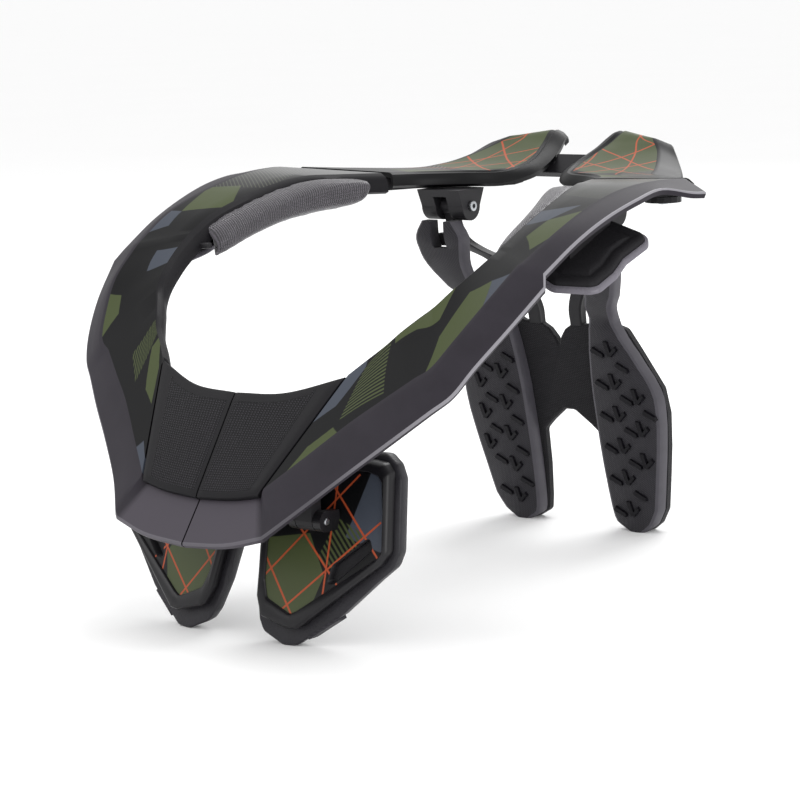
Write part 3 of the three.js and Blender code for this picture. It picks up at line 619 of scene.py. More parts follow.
def wallLine(line, along, wall):
    # the same line moved to its lower side
    inner = []
    for i, p in enumerate(line):
        sides = []
        if i:
            sides.append(downward(line[i - 1], p, along))
        if i < len(line) - 1:
            sides.append(downward(p, line[i + 1], along))
        total = sides[0] + sides[1] if len(sides) == 2 else sides[0]
        inner.append(p + total * (wall / ((1 + sides[0].dot(sides[1])) if len(sides) == 2 else 1)))
    return inner


def shellRing(s, sink, lip, corner, roll):
    # hem, skirt, rounded rim, top, rounded edge and the rolled inner wall, then the inside
    under, along = s["under"], s["along"]
    rim, edge = s["rim"] + under * sink, s["edge"] + under * sink
    hem = s["hem"]
    skirt = (rim - hem).normalized()
    out = -downward(hem, rim, along)
    across = (edge - rim).normalized()
    inner = wallLine([hem, rim, edge, roll], along, brace["wall"])
    rollWay = (roll - edge).normalized()
    bulge = -downward(edge, roll, along)
    outer = [hem - out * lip * 0.8, hem + skirt * lip, hem + skirt * lip * 1.6, rim.lerp(hem, 0.5),
             rim - skirt * corner,
             rim + across * corner, rim + across * corner * 2.2]
    outer += [rim.lerp(edge, t) for t in (0.35, 0.65)]
    drop = (roll - edge).length
    outer += [edge - across * corner * 1.6, edge + rollWay * corner * 0.6 - bulge * 0.0004,
              edge + rollWay * drop * 0.22 + bulge * 0.0009,
              edge + rollWay * drop * 0.5 + bulge * 0.0013, edge + rollWay * drop * 0.8 + bulge * 0.0008,
              roll]
    return outer + inner[::-1]


def chartShell(bm, grid, stations):
    # millimetres along the middle of the top and across from the rim; zone is 1 on the printed face
    run, places = 0.0, []
    for i, s in enumerate(stations):
        if i:
            before = stations[i - 1]
            run += ((s["rim"] + s["edge"]) * 0.5 - (before["rim"] + before["edge"]) * 0.5).length * 1000
        places.append((run, (s["edge"] - s["rim"]).length * 1000))
    shares = [0, 0, 0, 0, 0, 0.02, 0.05, 0.35, 0.65, 0.95, 1, 1, 1, 1, 1] + [1] * 4
    chartGrid(bm, grid, "chart", lambda i, j: (places[i][0], shares[j] * places[i][1]))
    layer = bm.loops.layers.uv.new("zone")
    where = {v: j for line in grid for j, v in enumerate(line)}
    for f in bm.faces:
        js = sorted({where[loop.vert] for loop in f.loops if loop.vert in where})
        printed = len(f.verts) == 4 and js[0] >= 6 and js[-1] <= 9
        rolled = js[0] >= 9 or len(f.verts) > 4
        lip = len(f.verts) == 4 and js in ([0, 1], [1, 2])
        for loop in f.loops:
            loop[layer].uv = (1.0 if printed else 0.5 if rolled else 0.0, 1.0 if lip else 0.0)


def buildArmShell():
    a = armShell
    stations = stationsOf(a["rows"], a["steps"], a["sharp"], Vector((1, 0, 0)))
    flags = rowFlags(a["rows"], a["steps"], a["sharp"])
    rings = []
    for s, flag in zip(stations, flags):
        roll = s["edge"] + s["under"] * a["sink"] * flag + s["inward"] * a["rollIn"]
        roll -= Vector((0, 0, a["rollDrop"]))
        rings.append(shellRing(s, a["sink"] * flag, a["lip"], a["round"], roll))
    bm = bmesh.new()
    grid = growRings(bm, rings)
    chartShell(bm, grid, stations)
    addPair("armShell", bm, ["shell_{side}"], "arm_{side}", ["arm_shell_{side}"], 28)


buildArmShell()
print("brace: arm shells built")

# ---- chin pad: dimpled, crowned, with a smooth rounded border
chinPad = {
    "depth": 0.003, "crown": 0.0015, "front": 0.0035, "neck": 0.005, "side": 0.0062, "seamSide": 0.0012,
    "along": 36,
    # how far in the crown takes to rise, from the long edges and from the ends, and the plain lift
    "fade": 0.004, "endFade": 0.0035, "lift": 0.0006,
    "across": (0, 0.01, 0.025, 0.045, 0.065, 0.085, 0.16, 0.3, 0.45, 0.6, 0.75, 0.84, 0.88, 0.92, 0.95,
               0.975, 0.99, 1),
}


def buildChinPad():
    c = chinPad
    rows = armShell["rows"][:3]
    columns = [spline([place(*row[3 * k:3 * k + 3]) for row in rows], c["along"] // 2, ())
               for k in range(2)]
    bm = bmesh.new()
    rings, charts, zones = [], [], []
    last = len(columns[0]) - 1
    for i, (rim, edge) in enumerate(zip(*columns)):
        along = (columns[0][min(i + 1, last)] - columns[0][max(i - 1, 0)]).normalized()
        under = downward(rim, edge, along)
        width = (edge - rim).length
        reach = (columns[0][last] - columns[0][0]).length
        fromEnd = min(i, last - i) / last * reach
        ring = []
        for t in c["across"]:
            near = min(t, 1 - t) * width
            rise = min(1, near / c["fade"]) ** 0.5 * min(1, (fromEnd + c["lift"]) / c["endFade"]) ** 0.5
            ring.append(rim.lerp(edge, t) - under * (c["crown"] * rise - c["lift"]))
        ring += [edge + under * c["depth"], rim + under * c["depth"]]
        rings.append(ring)
        charts.append([(i / last * reach * 1000, t * width * 1000) for t in (*c["across"], 1, 0)])
        inside = i / last * reach > c["seamSide"] and (1 - i / last) * reach > c["side"]
        zones.append([1.0 if inside and t * width > c["front"] and (1 - t) * width > c["neck"] else 0.0
                      for t in c["across"]] + [0.0, 0.0])
    grid = growRings(bm, rings)
    chartGrid(bm, grid, "chart", lambda i, j: charts[i][j])
    chartGrid(bm, grid, "zone", lambda i, j: (zones[i][j], 0))
    for piece in addPair("chinPad", bm, ["dimples"], "arm_{side}", ["chin_pad_{side}"], 60):
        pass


buildChinPad()

# ---- collar pad: soft, knitted, swelled by the cloth solver
collarPad = {
    "depth": 0.019, "height": 0.019, "girth": 8.5,
    "voxel": 0.002, "swell": 0.0007, "pressure": 4.0, "frames": 20,
    # first point of each section, inside the arm's edge, and how far the last two go into its wall
    "hidden": (-0.0008, -0.0024), "behind": (0.0014, 0.0012), "foot": 0.92,
    # size of the clip, and its place inward, along and down from the front end
    "clip": (0.007, 0.0045, 0.003), "clipAt": (0.0046, 0.0045, 0.0108), "clipRound": 0.0008,
    # row of the arm, then inward and upward of five points
    "rows": [
        (12.5, (0.26, -0.16), (0.47, -0.4), (0.53, -0.63), (0.47, -0.84), (0.26, -0.95)),
        (13, (0.32, -0.16), (0.6, -0.42), (0.71, -0.68), (0.6, -0.92), (0.34, -1)),
        (14, (0.34, -0.15), (0.66, -0.4), (0.76, -0.63), (0.66, -0.9), (0.37, -1)),
        (15, (0.4, -0.15), (0.74, -0.3), (0.84, -0.53), (0.74, -0.87), (0.37, -1)),
        (16, (0.45, -0.1), (0.84, -0.22), (0.95, -0.42), (0.84, -0.84), (0.42, -1)),
        (17, (0.45, -0.09), (0.9, -0.13), (1, -0.26), (0.87, -0.68), (0.42, -0.84)),
        (17.3, (0.42, -0.11), (0.82, -0.15), (0.87, -0.24), (0.76, -0.5), (0.4, -0.6)),
    ],
}


def between(rows, t):
    i = min(int(t), len(rows) - 2)
    spot = [place(*rows[i][3 * c:3 * c + 3]).lerp(place(*rows[i + 1][3 * c:3 * c + 3]), t - i)
            for c in range(3)]
    return dict(zip(("rim", "edge", "hem"), spot))


def swell(bm, name, c):
    # voxel remesh, cloth pressure for some frames, then each point is held within the cap
    mesh = bpy.data.meshes.new(name)
    bmesh.ops.recalc_face_normals(bm, faces=bm.faces)
    bm.to_mesh(mesh)
    bm.free()
    soft = bpy.data.objects.new(name, mesh)
    bpy.context.scene.collection.objects.link(soft)
    remesh = soft.modifiers.new("remesh", "REMESH")
    remesh.mode, remesh.voxel_size, remesh.use_smooth_shade = "VOXEL", c["voxel"], True
    start = bpy.data.meshes.new_from_object(soft.evaluated_get(bpy.context.evaluated_depsgraph_get()))
    soft.modifiers.clear()
    soft.data = start
    rest = [v.co.copy() for v in start.vertices]
    moved = rest
    cloth = soft.modifiers.new("cloth", "CLOTH")
    cloth.settings.use_pressure = True
    cloth.settings.uniform_pressure_force = c["pressure"]
    cloth.settings.effector_weights.gravity = 0
    scene = bpy.context.scene
    for step in range(1, c["frames"] + 1):
        scene.frame_set(step)
    done = soft.evaluated_get(bpy.context.evaluated_depsgraph_get()).to_mesh()
    moved = [v.co.copy() for v in done.vertices]
    scene.frame_set(1)
    soft.modifiers.clear()
    out = bmesh.new()
    out.from_mesh(start)
    out.verts.ensure_lookup_table()
    for vert, a, b in zip(out.verts, rest, moved):
        step = b - a
        vert.co = a + (step if step.length < c["swell"] else step.normalized() * c["swell"])
    for _ in range(3):
        bmesh.ops.smooth_vert(out, verts=out.verts, factor=0.5, use_axis_x=True, use_axis_y=True,
                              use_axis_z=True)
    bmesh.ops.subdivide_edges(out, edges=out.edges, cuts=1, use_grid_fill=True, smooth=0.6)
    bpy.data.objects.remove(soft)
    return out


def chartSoft(bm, spine, girth):
    # millimetres along the pad and round it, measured from its hidden side
    layer = bm.loops.layers.uv.new("chart")
    runs = [0.0]
    for (a, _), (b, _) in zip(spine, spine[1:]):
        runs.append(runs[-1] + (b - a).length * 1000)
    chart = {}
    for v in bm.verts:
        i = min(range(len(spine)), key=lambda k: (spine[k][0] - v.co).length)
        centre, inward = spine[i]
        step = v.co - centre
        along = Vector((0, 0, 1)).cross(inward)
        run = runs[i] - along.dot(step) * 1000
        angle = math.atan2(step.z, -step.dot(inward))
        chart[v] = (run, angle * girth)
    for f in bm.faces:
        spots = [chart[loop.vert] for loop in f.loops]
        low = min(y for _, y in spots)
        for loop, (x, y) in zip(f.loops, spots):
            loop[layer].uv = (x, y - 2 * math.pi * girth if y - low > 20 else y)


def buildCollarPad():
    c = collarPad
    stations = [between(armShell["rows"], row) for row, *_ in c["rows"]]
    for i, s in enumerate(stations):
        a, b = stations[max(i - 1, 0)], stations[min(i + 1, len(stations) - 1)]
        run = ((b["rim"] + b["edge"]) - (a["rim"] + a["edge"])).normalized()
        s["inward"] = Vector((0, 0, 1)).cross(run).normalized()
    bm = bmesh.new()
    rollIn, drop = armShell["rollIn"], armShell["rollDrop"]
    rings, spine = [], []
    for s, (_, *section) in zip(stations, c["rows"]):
        def at(inward, upward):
            return s["edge"] + s["inward"] * inward + Vector((0, 0, upward))
        line = [at(*c["hidden"])]
        line += [at(i * (c["depth"] - 0.0006), u * (c["height"] - 0.0004) - 0.0006) for i, u in section]
        line += [at(rollIn + c["behind"][0], c["foot"] * section[-1][1] * c["height"])]
        rings.append(line + [at(rollIn + c["behind"][1], -drop)])
        spine.append((at(section[2][0] * c["depth"] * 0.6, section[2][1] * c["height"] * 0.9), s["inward"]))
    columns = [spline([ring[j] for ring in rings], 4, ()) for j in range(len(rings[0]))]
    rings = [spline([*ring, ring[0]], 3, (0, 5, 6, 7))[:-1] for ring in zip(*columns)]
    centres, inwards = spline([p for p, _ in spine], 6, ()), spline([d for _, d in spine], 6, ())
    growRings(bm, rings)
    soft = swell(bm, "collarSoft", c)
    chartSoft(soft, list(zip(centres, inwards)), c["girth"])
    for piece in addPair("collarPad", soft, ["weave"], "arm_{side}", ["collar_pad_{side}"],
                         180):
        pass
    # the dark clip under its front end
    first, inward = stations[0], stations[0]["inward"]
    clip = bmesh.new()
    along = Vector((0, 0, 1)).cross(inward)
    into, ahead, down = c["clipAt"]
    middle = first["edge"] + inward * into + along * ahead - Vector((0, 0, down))
    box = bmesh.ops.create_cube(clip, size=1)["verts"]
    bmesh.ops.scale(clip, vec=c["clip"], verts=box)
    bevelEdges(clip, list(clip.edges), c["clipRound"], 2)
    bmesh.ops.rotate(clip, cent=(0, 0, 0), matrix=Matrix.Rotation(math.atan2(inward.y, inward.x), 3, "Z"),
                     verts=clip.verts)
    bmesh.ops.translate(clip, vec=middle, verts=clip.verts)
    addPair("collarClip", clip, ["nylon"], "arm_{side}", [])


buildCollarPad()
print("brace: chin and collar pads built")

# ---- shoulder pad: cushion on a glossy flange whose light grey is a painted highlight, with a step round its middle
shoulderPad = {
    "depth": 0.005, "height": 0.7441, "lean": 0.4, "tilt": 0.3, "corner": (0.933, 0.411), "round": 0.006,
    "outline": [(0.667, 0.392), (0.81, 0.375), (0.913, 0.4), (0.933, 0.411), (0.937, 0.449),
                (0.923, 0.483), (0.933, 0.533), (0.907, 0.547), (0.667, 0.547)],
    # inset, height above the underside and size, from the middle below, over the edge, to the middle on top
    "rings": [(0.0084, 0, 0.7), (0.002, 0, 1), (0.0008, 0.0002, 1), (0, 0.0007, 1), (0, 0.0024, 1),
              (0.0006, 0.0030, 1), (0.0018, 0.0031, 1), (0.0021, 0.0027, 1),
              (0.0021, 0.0033, 1), (0.0022, 0.0043, 1), (0.0029, 0.0050, 1), (0.0042, 0.0053, 1),
              (0.0066, 0.0052, 1), (0.0074, 0.0046, 1), (0.0082, 0.0047, 1),
              (0.0084, 0.0054, 0.94), (0.0084, 0.0058, 0.84), (0.0084, 0.0060, 0.6)],
}


def buildShoulderPad():
    c = shoulderPad
    w, l, h = brace["halfWidth"], brace["length"], brace["height"]
    cx, cy = c["corner"][0] * w, (c["corner"][1] - 0.5) * l
    rings = []
    for inset, up, size in c["rings"]:
        loop = outlineLoop([(x, y - 0.5) for x, y in c["outline"]], w, l, inset, c["round"], 5)
        middle = sum(loop, Vector((0, 0))) / len(loop)
        loop = [middle + (p - middle) * size for p in loop]
        rings.append([Vector((p.x, p.y, c["height"] * h + c["lean"] * (p.y - cy) - c["tilt"] * (p.x - cx)
                              - c["depth"] + up)) for p in loop])
    bm = bmesh.new()
    grid = growRings(bm, rings)
    level = {v: i for i, line in enumerate(grid) for v in line}
    for f in bm.faces:
        top = max(level[v] for v in f.verts)
        # the flange rings take the light grey painted highlight
        f.material_index = 1 if 2 <= top <= 6 else 0
    for piece in addPair("shoulderPad", bm, ["foam", "flangeHighlight"], "arm_{side}", ["shoulder_pad_{side}"],
                         50):
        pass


buildShoulderPad()
print("brace: shoulder pads built")

# ---- rear flaps
rearFlap = {
    "lip": 0.0010, "round": 0.0009, "steps": 5, "sharp": (),
    # rimX, rimY, rimZ, edgeX, edgeY, edgeZ, hemX, hemY, hemZ, rollX, rollY, rollZ
    "rows": [
        (0.84, 0.698, 0.93, 0.437, 0.712, 0.92, 0.858, 0.706, 0.914, 0.417, 0.705, 0.888),
        (0.687, 0.747, 0.924, 0.387, 0.761, 0.917, 0.747, 0.767, 0.9, 0.367, 0.754, 0.885),
        (0.533, 0.816, 0.918, 0.28, 0.81, 0.915, 0.6, 0.836, 0.898, 0.267, 0.8, 0.883),
        (0.482, 0.858, 0.923, 0.153, 0.836, 0.915, 0.567, 0.871, 0.902, 0.127, 0.825, 0.886),
        (0.44, 0.892, 0.934, 0.117, 0.868, 0.924, 0.53, 0.897, 0.911, 0.063, 0.862, 0.902),
        (0.384, 0.933, 0.958, 0.116, 0.904, 0.942, 0.467, 0.929, 0.936, 0.057, 0.903, 0.923),
        (0.333, 0.956, 0.98, 0.137, 0.945, 0.97, 0.413, 0.952, 0.963, 0.073, 0.946, 0.952),
        (0.317, 0.964, 0.984, 0.153, 0.98, 1.0, 0.393, 0.962, 0.968, 0.092, 0.978, 0.98),
        (0.307, 0.975, 0.972, 0.137, 1.0, 0.984, 0.38, 0.974, 0.955, 0.102, 0.992, 0.967),
    ],
}


def buildRearFlap():
    c = rearFlap
    stations = stationsOf(c["rows"], c["steps"], c["sharp"])
    rings = [shellRing(s, 0, c["lip"], c["round"], s["roll"]) for s in stations]
    bm = bmesh.new()
    grid = growRings(bm, rings)
    chartShell(bm, grid, stations)
    addPair("rearFlap", bm, ["flap"], "rear", ["rear_flap_{side}"], 28)


buildRearFlap()
print("brace: rear flaps built")

# ---- back support: textile cushions with raised treads
backSupport = {
    "reach": 0.065, "neckTop": 0.175, "forward": 0.02249, "padDepth": 0.0075, "bevel": 0.0022,
    "lean": math.tan(math.radians(12.5)),
    "foot": (0.9306 - 0.5) * 0.346, "slotX": 0.048, "slotHalf": 0.0043, "forkBottom": 0.16,
    # height, inner, outer, forward
    "rows": [(0, 0.52, 0.665, 0), (0.03, 0.4, 0.77, 0), (0.08, 0.37, 0.85, 0), (0.19, 0.35, 0.91, 0),
             (0.29, 0.342, 0.962, 0),
             (0.4, 0.342, 1.0, 0), (0.48, 0.346, 0.98, 0), (0.59, 0.37, 0.815, 0), (0.663, 0.4, 0.7, 0),
             (0.697, 0.42, 0.668, 0),
             (0.743, 0.485, 0.746, 0.36), (0.783, 0.554, 0.846, 0.59), (0.857, 0.554, 0.954, 0.86),
             (0.914, 0.515, 0.992, 0.96),
             (0.954, 0.492, 0.985, 1.0), (1.0, 0.57, 0.91, 0.95)],
    "treadHeight": 0.0019, "treadSunk": 0.0006, "treadSlope": 0.00045, "treadRows": 6,
    "treadPitch": 0.0183, "dashAt": (0.0067, -0.0096),
    # columns of marks: across, height of the lowest one
    "columns": {"left": [(0.0245, 0.0215), (0.039, 0.0138), (0.0525, 0.0245)],
                "right": [(-0.0525, 0.0265), (-0.037, 0.0145)]},
    "chevron": [(-3.3, 4.6), (-1.1, -4.5), (1.1, -4.5), (5.6, 0.0), (4.2, 2.2), (1.2, -0.8), (-0.1, 4.6)],
    "dash": [(-4.5, 0.9), (-3.7, -0.5), (2.9, -3.5), (4.4, -2.6), (3.9, -0.6), (-2.8, 2.9)],
}


def padFront(z, forward=0.0):
    c = backSupport
    return c["foot"] - c["lean"] * z - forward * c["forward"]


def padSpot(x, z, height):
    return Vector((x, padFront(z) - height, z))


def addTread(bm, x, z):
    # a chevron, and a slanted bar outward of it and below; the same way round on both pads
    c = backSupport
    for shape, dx, dz in ((c["chevron"], 0, 0), (c["dash"], c["dashAt"][0], c["dashAt"][1])):
        if onPad(x + dx, z + dz):
            outline = [Vector((x + (dx + px / 1000), z + (dz + pz / 1000))) for px, pz in shape]
            addBar(bm, outline, -c["treadSunk"], c["treadHeight"], c["treadSlope"], padSpot, 2)


def onPad(x, z):
    inner, outer = edgesAt(z / backSupport["neckTop"])
    return inner + 0.0052 < abs(x) < outer - 0.0056 and z > 0.008


def buildBackPads():
    c = backSupport
    rows = [Vector((inner, outer, forward)) for _, inner, outer, forward in c["rows"]]
    smooth = spline(rows, 3)
    levels = [a[0] + (b[0] - a[0]) * k / 3 for a, b in zip(c["rows"], c["rows"][1:])
              for k in range(3)] + [1.0]
    rings = []
    for level, row in zip(levels, smooth):
        z = level * c["neckTop"]
        a, b = row.x * c["reach"], row.y * c["reach"]
        front = padFront(z, row.z)
        back = front + c["padDepth"]
        bevel = min(c["bevel"], (b - a) / 4)
        crown = min(0.0006, (b - a) * 0.02)
        rings.append([Vector((x, y, z)) for x, y in (
            (a, back), (a, front + bevel), (a + bevel * 0.3, front + bevel * 0.35), (a + bevel, front),
            ((a + b) / 2, front - crown), (b - bevel, front), (b - bevel * 0.3, front + bevel * 0.35),
            (b, front + bevel), (b, back))])
    bm = bmesh.new()
    grid = growRings(bm, rings)
    where = {v: j for line in grid for j, v in enumerate(line)}
    for f in bm.faces:
        js = {where[v] for v in f.verts}
        # the sides and bevels take the lighter band, a painted highlight; the face takes the textile
        f.material_index = 1 if js <= {0, 1, 2, 3} or js <= {5, 6, 7, 8} else 0
    # the slot of the fork is cut clean through, then its edges are softened
    cutter = bmesh.new()
    box = bmesh.ops.create_cube(cutter, size=1)["verts"]
    bmesh.ops.scale(cutter, vec=(c["slotHalf"] * 2, 0.2, 0.06), verts=box)
    bmesh.ops.translate(cutter, vec=(c["slotX"], 0.1, c["forkBottom"] + 0.03), verts=box)
    bm = carved(bm, cutter)
    walls = [e for e in bm.edges if len(e.link_faces) == 2 and e.calc_face_angle(0) > 1.2 and
             all(abs(abs(v.co.x - c["slotX"]) - c["slotHalf"]) < 1e-5 and v.co.z > c["forkBottom"] - 1e-5
                 for v in e.verts)]
    bevelEdges(bm, walls, 0.0007, 2)
    for side in ("left", "right"):
        copy = bm.copy()
        if side == "right":
            bmesh.ops.scale(copy, vec=(-1, 1, 1), verts=copy.verts)
        for x, low in c["columns"][side]:
            for k in range(c["treadRows"]):
                addTread(copy, x, low + k * c["treadPitch"])
        name = "backPad_" + side
        mesh = finishMesh(copy, name, 30)
        copy.free()
        piece = addPiece(name, mesh, [looks[n] for n in ("tread", "bandHighlight", "marks")], "back_support",
                         ["back_pad_" + side])
    bm.free()


def edgesAt(level):
    rows = backSupport["rows"]
    for a, b in zip(rows, rows[1:]):
        if a[0] <= level <= b[0]:
            t = (level - a[0]) / (b[0] - a[0])
            return [(a[k] + (b[k] - a[k]) * t) * backSupport["reach"] for k in (1, 2)]
    return [0, 0]


def carved(bm, cutter):
    made = []
    for name, source in (("carve", bm), ("cutter", cutter)):
        mesh = bpy.data.meshes.new(name)
        bmesh.ops.recalc_face_normals(source, faces=source.faces)
        source.to_mesh(mesh)
        source.free()
        obj = bpy.data.objects.new(name, mesh)
        bpy.context.scene.collection.objects.link(obj)
        made.append(obj)
    for _ in range(3):
        made[0].data.materials.append(None)
    cut = made[0].modifiers.new("cut", "BOOLEAN")
    cut.operation, cut.object, cut.solver = "DIFFERENCE", made[1], "EXACT"
    mesh = bpy.data.meshes.new_from_object(made[0].evaluated_get(bpy.context.evaluated_depsgraph_get()))
    out = bmesh.new()
    out.from_mesh(mesh)
    for obj in made:
        bpy.data.objects.remove(obj)
    return out


buildBackPads()

# ---- the plate behind the cushions
backPlate = {
    "reach": 0.065, "behind": 0.0079, "depth": 0.0055, "round": 0.004, "edge": 0.0009,
    # across and height of one half, from the middle of the top round to the middle of the lower edge
    "half": [(0, 0.1035), (0.0016, 0.1085), (0.0052, 0.1135), (0.0105, 0.1168), (0.0214, 0.1172),
             (0.0286, 0.121), (0.0455, 0.116), (0.053, 0.1033), (0.0637, 0.084),
             (0.065, 0.07), (0.0625, 0.0508), (0.0592, 0.0333), (0.0553, 0.014), (0.05, 0.0052),
             (0.0432, 0), (0.0338, 0), (0.0247, 0.0052), (0.0228, 0.014),
             (0.0202, 0.0333), (0.0188, 0.054), (0.013, 0.0595), (0.0036, 0.067), (0, 0.067)],
}


def buildBackPlate():
    c = backPlate
    right = [Vector(p) for p in c["half"]]
    loop = right + [Vector((-p.x, p.y)) for p in right[1:-1]][::-1]
    rings = []
    for inset, depth in ((c["edge"], 0), (0, c["edge"]), (0, c["depth"] - c["edge"]),
                         (c["edge"], c["depth"])):
        flat = roundLoop(insetLoop(loop[::-1], inset), c["round"], 3)
        rings.append([Vector((p.x, padFront(p.y) + c["behind"] + depth, max(p.y, 0))) for p in flat])
    bm = bmesh.new()
    growRings(bm, rings)
    mesh = finishMesh(bm, "backPlate", 30)
    addPiece("backPlate", mesh, [looks["plateCloth"]], "back_support", ["back_plate"])
    bm.free()


buildBackPlate()
print("brace: back pads and plate built")

# ---- struts between the pivots and the back plate
strut = {
    "top": (0.048, 0.10238, 0.1826), "foot": (0.01365, 0.1336, 0.116), "tongue": 0.0048,
    "tongueWidth": 0.007, "round": 0.0009,
    # block that the tongue sits on
    "seat": (0.014, 0.006, 0.007), "seatAt": (0.048, 0.1018, 0.164),
    # share of the way down, across, back, half width, half depth
    "rows": [(0, 0, 0, 3.5, 3.6), (0.16, 0, 0.1, 3.5, 3.8), (0.28, 0.03, 0.22, 4.2, 4),
             (0.37, 0.17, 0.42, 4.8, 4), (0.46, 0.44, 0.63, 4.8, 4),
             (0.6, 0.74, 0.8, 4.6, 3.8), (0.83, 0.97, 0.93, 4.2, 3.4), (1, 1, 1, 4, 3)],
}


def buildStruts():
    c = strut
    top, foot = Vector(c["top"]), Vector(c["foot"])
    step = foot - top
    middles = spline([top + Vector((step.x * a, step.y * b, step.z * f)) for f, a, b, *_ in c["rows"]], 5)
    sizes = spline([Vector((w, d, 0)) * 0.001 for *_, w, d in c["rows"]], 5)
    rings = []
    for m, s in zip(middles, sizes):
        w, d, r = s.x, s.y, c["round"]
        rings.append([m + Vector((x, y, 0)) for x, y in (
            (-w, -d + r), (-w + r, -d), (w - r, -d), (w, -d + r), (w - 0.0004, 0), (w, d - r), (w - r, d),
            (-w + r, d), (-w, d - r), (-w + 0.0004, 0))])
    bm = bmesh.new()
    growRings(bm, rings)
    disc = bmesh.ops.create_cone(bm, cap_ends=True, segments=32, radius1=c["tongue"], radius2=c["tongue"],
                                 depth=c["tongueWidth"])["verts"]
    bmesh.ops.rotate(bm, cent=(0, 0, 0), matrix=Matrix.Rotation(math.pi / 2, 3, "Y"), verts=disc)
    bmesh.ops.translate(bm, vec=top, verts=disc)
    seat = bmesh.ops.create_cube(bm, size=1)["verts"]
    bmesh.ops.scale(bm, vec=c["seat"], verts=seat)
    bmesh.ops.translate(bm, vec=c["seatAt"], verts=seat)
    bevelEdges(bm, list({e for v in seat for e in v.link_edges}), 0.0007, 2)
    addPair("thoracicStrut", bm, ["nylon"], "back_support", ["thoracic_strut_{side}"], 35)


buildStruts()

# ---- chest plates and their pads, in a plane that leans back and sweeps outward
chest = {
    "sweep": 0.09, "lean": 0.35, "face": (0.0705 - 0.5) * 0.346, "width": 0.088, "height": 0.091,
    "frameDepth": 0.006, "recess": 0.0016, "padDepth": 0.009, "gap": 0.0004,
    "axis": (0.043, -0.13061, 0.06),
    "pad": [(0.2, 0.055), (0.34, 0.0), (0.43, 0.005), (0.68, 0.175), (0.86, 0.35), (0.95, 0.43),
            (0.968, 0.505), (0.9, 0.86), (0.855, 0.93),
            (0.78, 0.98), (0.2, 0.98), (0.1, 0.82), (0.076, 0.47), (0.11, 0.26), (0.16, 0.11)],
    "frame": [(0.21, 0.14), (0.4, 0.095), (0.458, 0.1), (0.9, 0.45), (0.937, 0.51), (0.862, 0.895),
              (0.815, 0.94), (0.74, 0.95), (0.22, 0.95),
              (0.135, 0.8), (0.128, 0.48), (0.16, 0.24)],
    "art": [(0.235, 0.235), (0.4, 0.17), (0.44, 0.19), (0.889, 0.492), (0.907, 0.548), (0.828, 0.848),
            (0.80, 0.88), (0.73, 0.895), (0.25, 0.888),
            (0.18, 0.76), (0.175, 0.5), (0.2, 0.32)],
    "tab": [(0.495, 0.048), (0.655, 0.157)],
    "vent": [(0.59, 0.33), (0.645, 0.34), (0.845, 0.52), (0.81, 0.585), (0.61, 0.43)],
}


def chestPoint(x, z, depth):
    return Vector((x, chest["face"] + chest["sweep"] * x + chest["lean"] * z + depth, z))


def chestRing(outline, inset, depth, radius=0.004):
    loop = outlineLoop(chest[outline], chest["width"], chest["height"], inset, radius)
    return [chestPoint(p.x, p.y, depth) for p in loop]


def chestEdges(bm, ring):
    verts = [bm.verts.new(p) for p in ring]
    return [bm.edges.new(pair) for pair in zip(verts, verts[1:] + verts[:1])]


def buildChestPlate():
    c = chest
    bm = bmesh.new()
    # wall of the frame from its back to the crest, then down to the recessed panel
    steps = [("frame", 0, c["frameDepth"]), ("frame", 0, 0.0030), ("frame", 0.0003, 0.0016),
             ("frame", 0.0011, 0.0005), ("frame", 0.0021, 0.0)]
    line = [chestEdges(bm, chestRing(*step)) for step in steps]
    inner = [chestEdges(bm, chestRing("art", inset, depth, 0.003))
             for inset, depth in ((-0.0007, 0.0003), (-0.0001, 0.0009), (0, c["recess"]))]
    for a, b in zip(line + inner, (line + inner)[1:]):
        bmesh.ops.bridge_loops(bm, edges=a + b)
    bmesh.ops.contextual_create(bm, geom=line[0])
    vent = [chestEdges(bm, chestRing("vent", inset, depth, 0.002)) for inset, depth in
            ((0, c["recess"]), (0.0006, c["recess"] + 0.0008), (0.0008, c["frameDepth"] - 0.0008))]
    for a, b in zip(vent, vent[1:]):
        bmesh.ops.bridge_loops(bm, edges=a + b)
    bmesh.ops.contextual_create(bm, geom=vent[-1])
    made = bmesh.ops.triangle_fill(bm, use_beauty=True, use_dissolve=False,
                                   edges=inner[-1] + vent[0])["geom"]
    printed = {g for g in made if isinstance(g, bmesh.types.BMFace)}
    chart, zone = bm.loops.layers.uv.new("chart"), bm.loops.layers.uv.new("zone")
    cavity = {v for edges in vent[1:] for e in edges for v in e.verts}
    for f in bm.faces:
        dark = any(v in cavity for v in f.verts)
        f.material_index = 1 if dark else 0
        for loop in f.loops:
            loop[chart].uv = (loop.vert.co.x * 1000, loop.vert.co.z * 1000)
            loop[zone].uv = (1.0 if f in printed else 0.0, 0.0)
    for way in (-1, 1):
        addEar(bm, way)
    addPair("chestPlate", bm, ["chest", "nylon"], "chest_{side}", ["chest_plate_{side}"], 34)


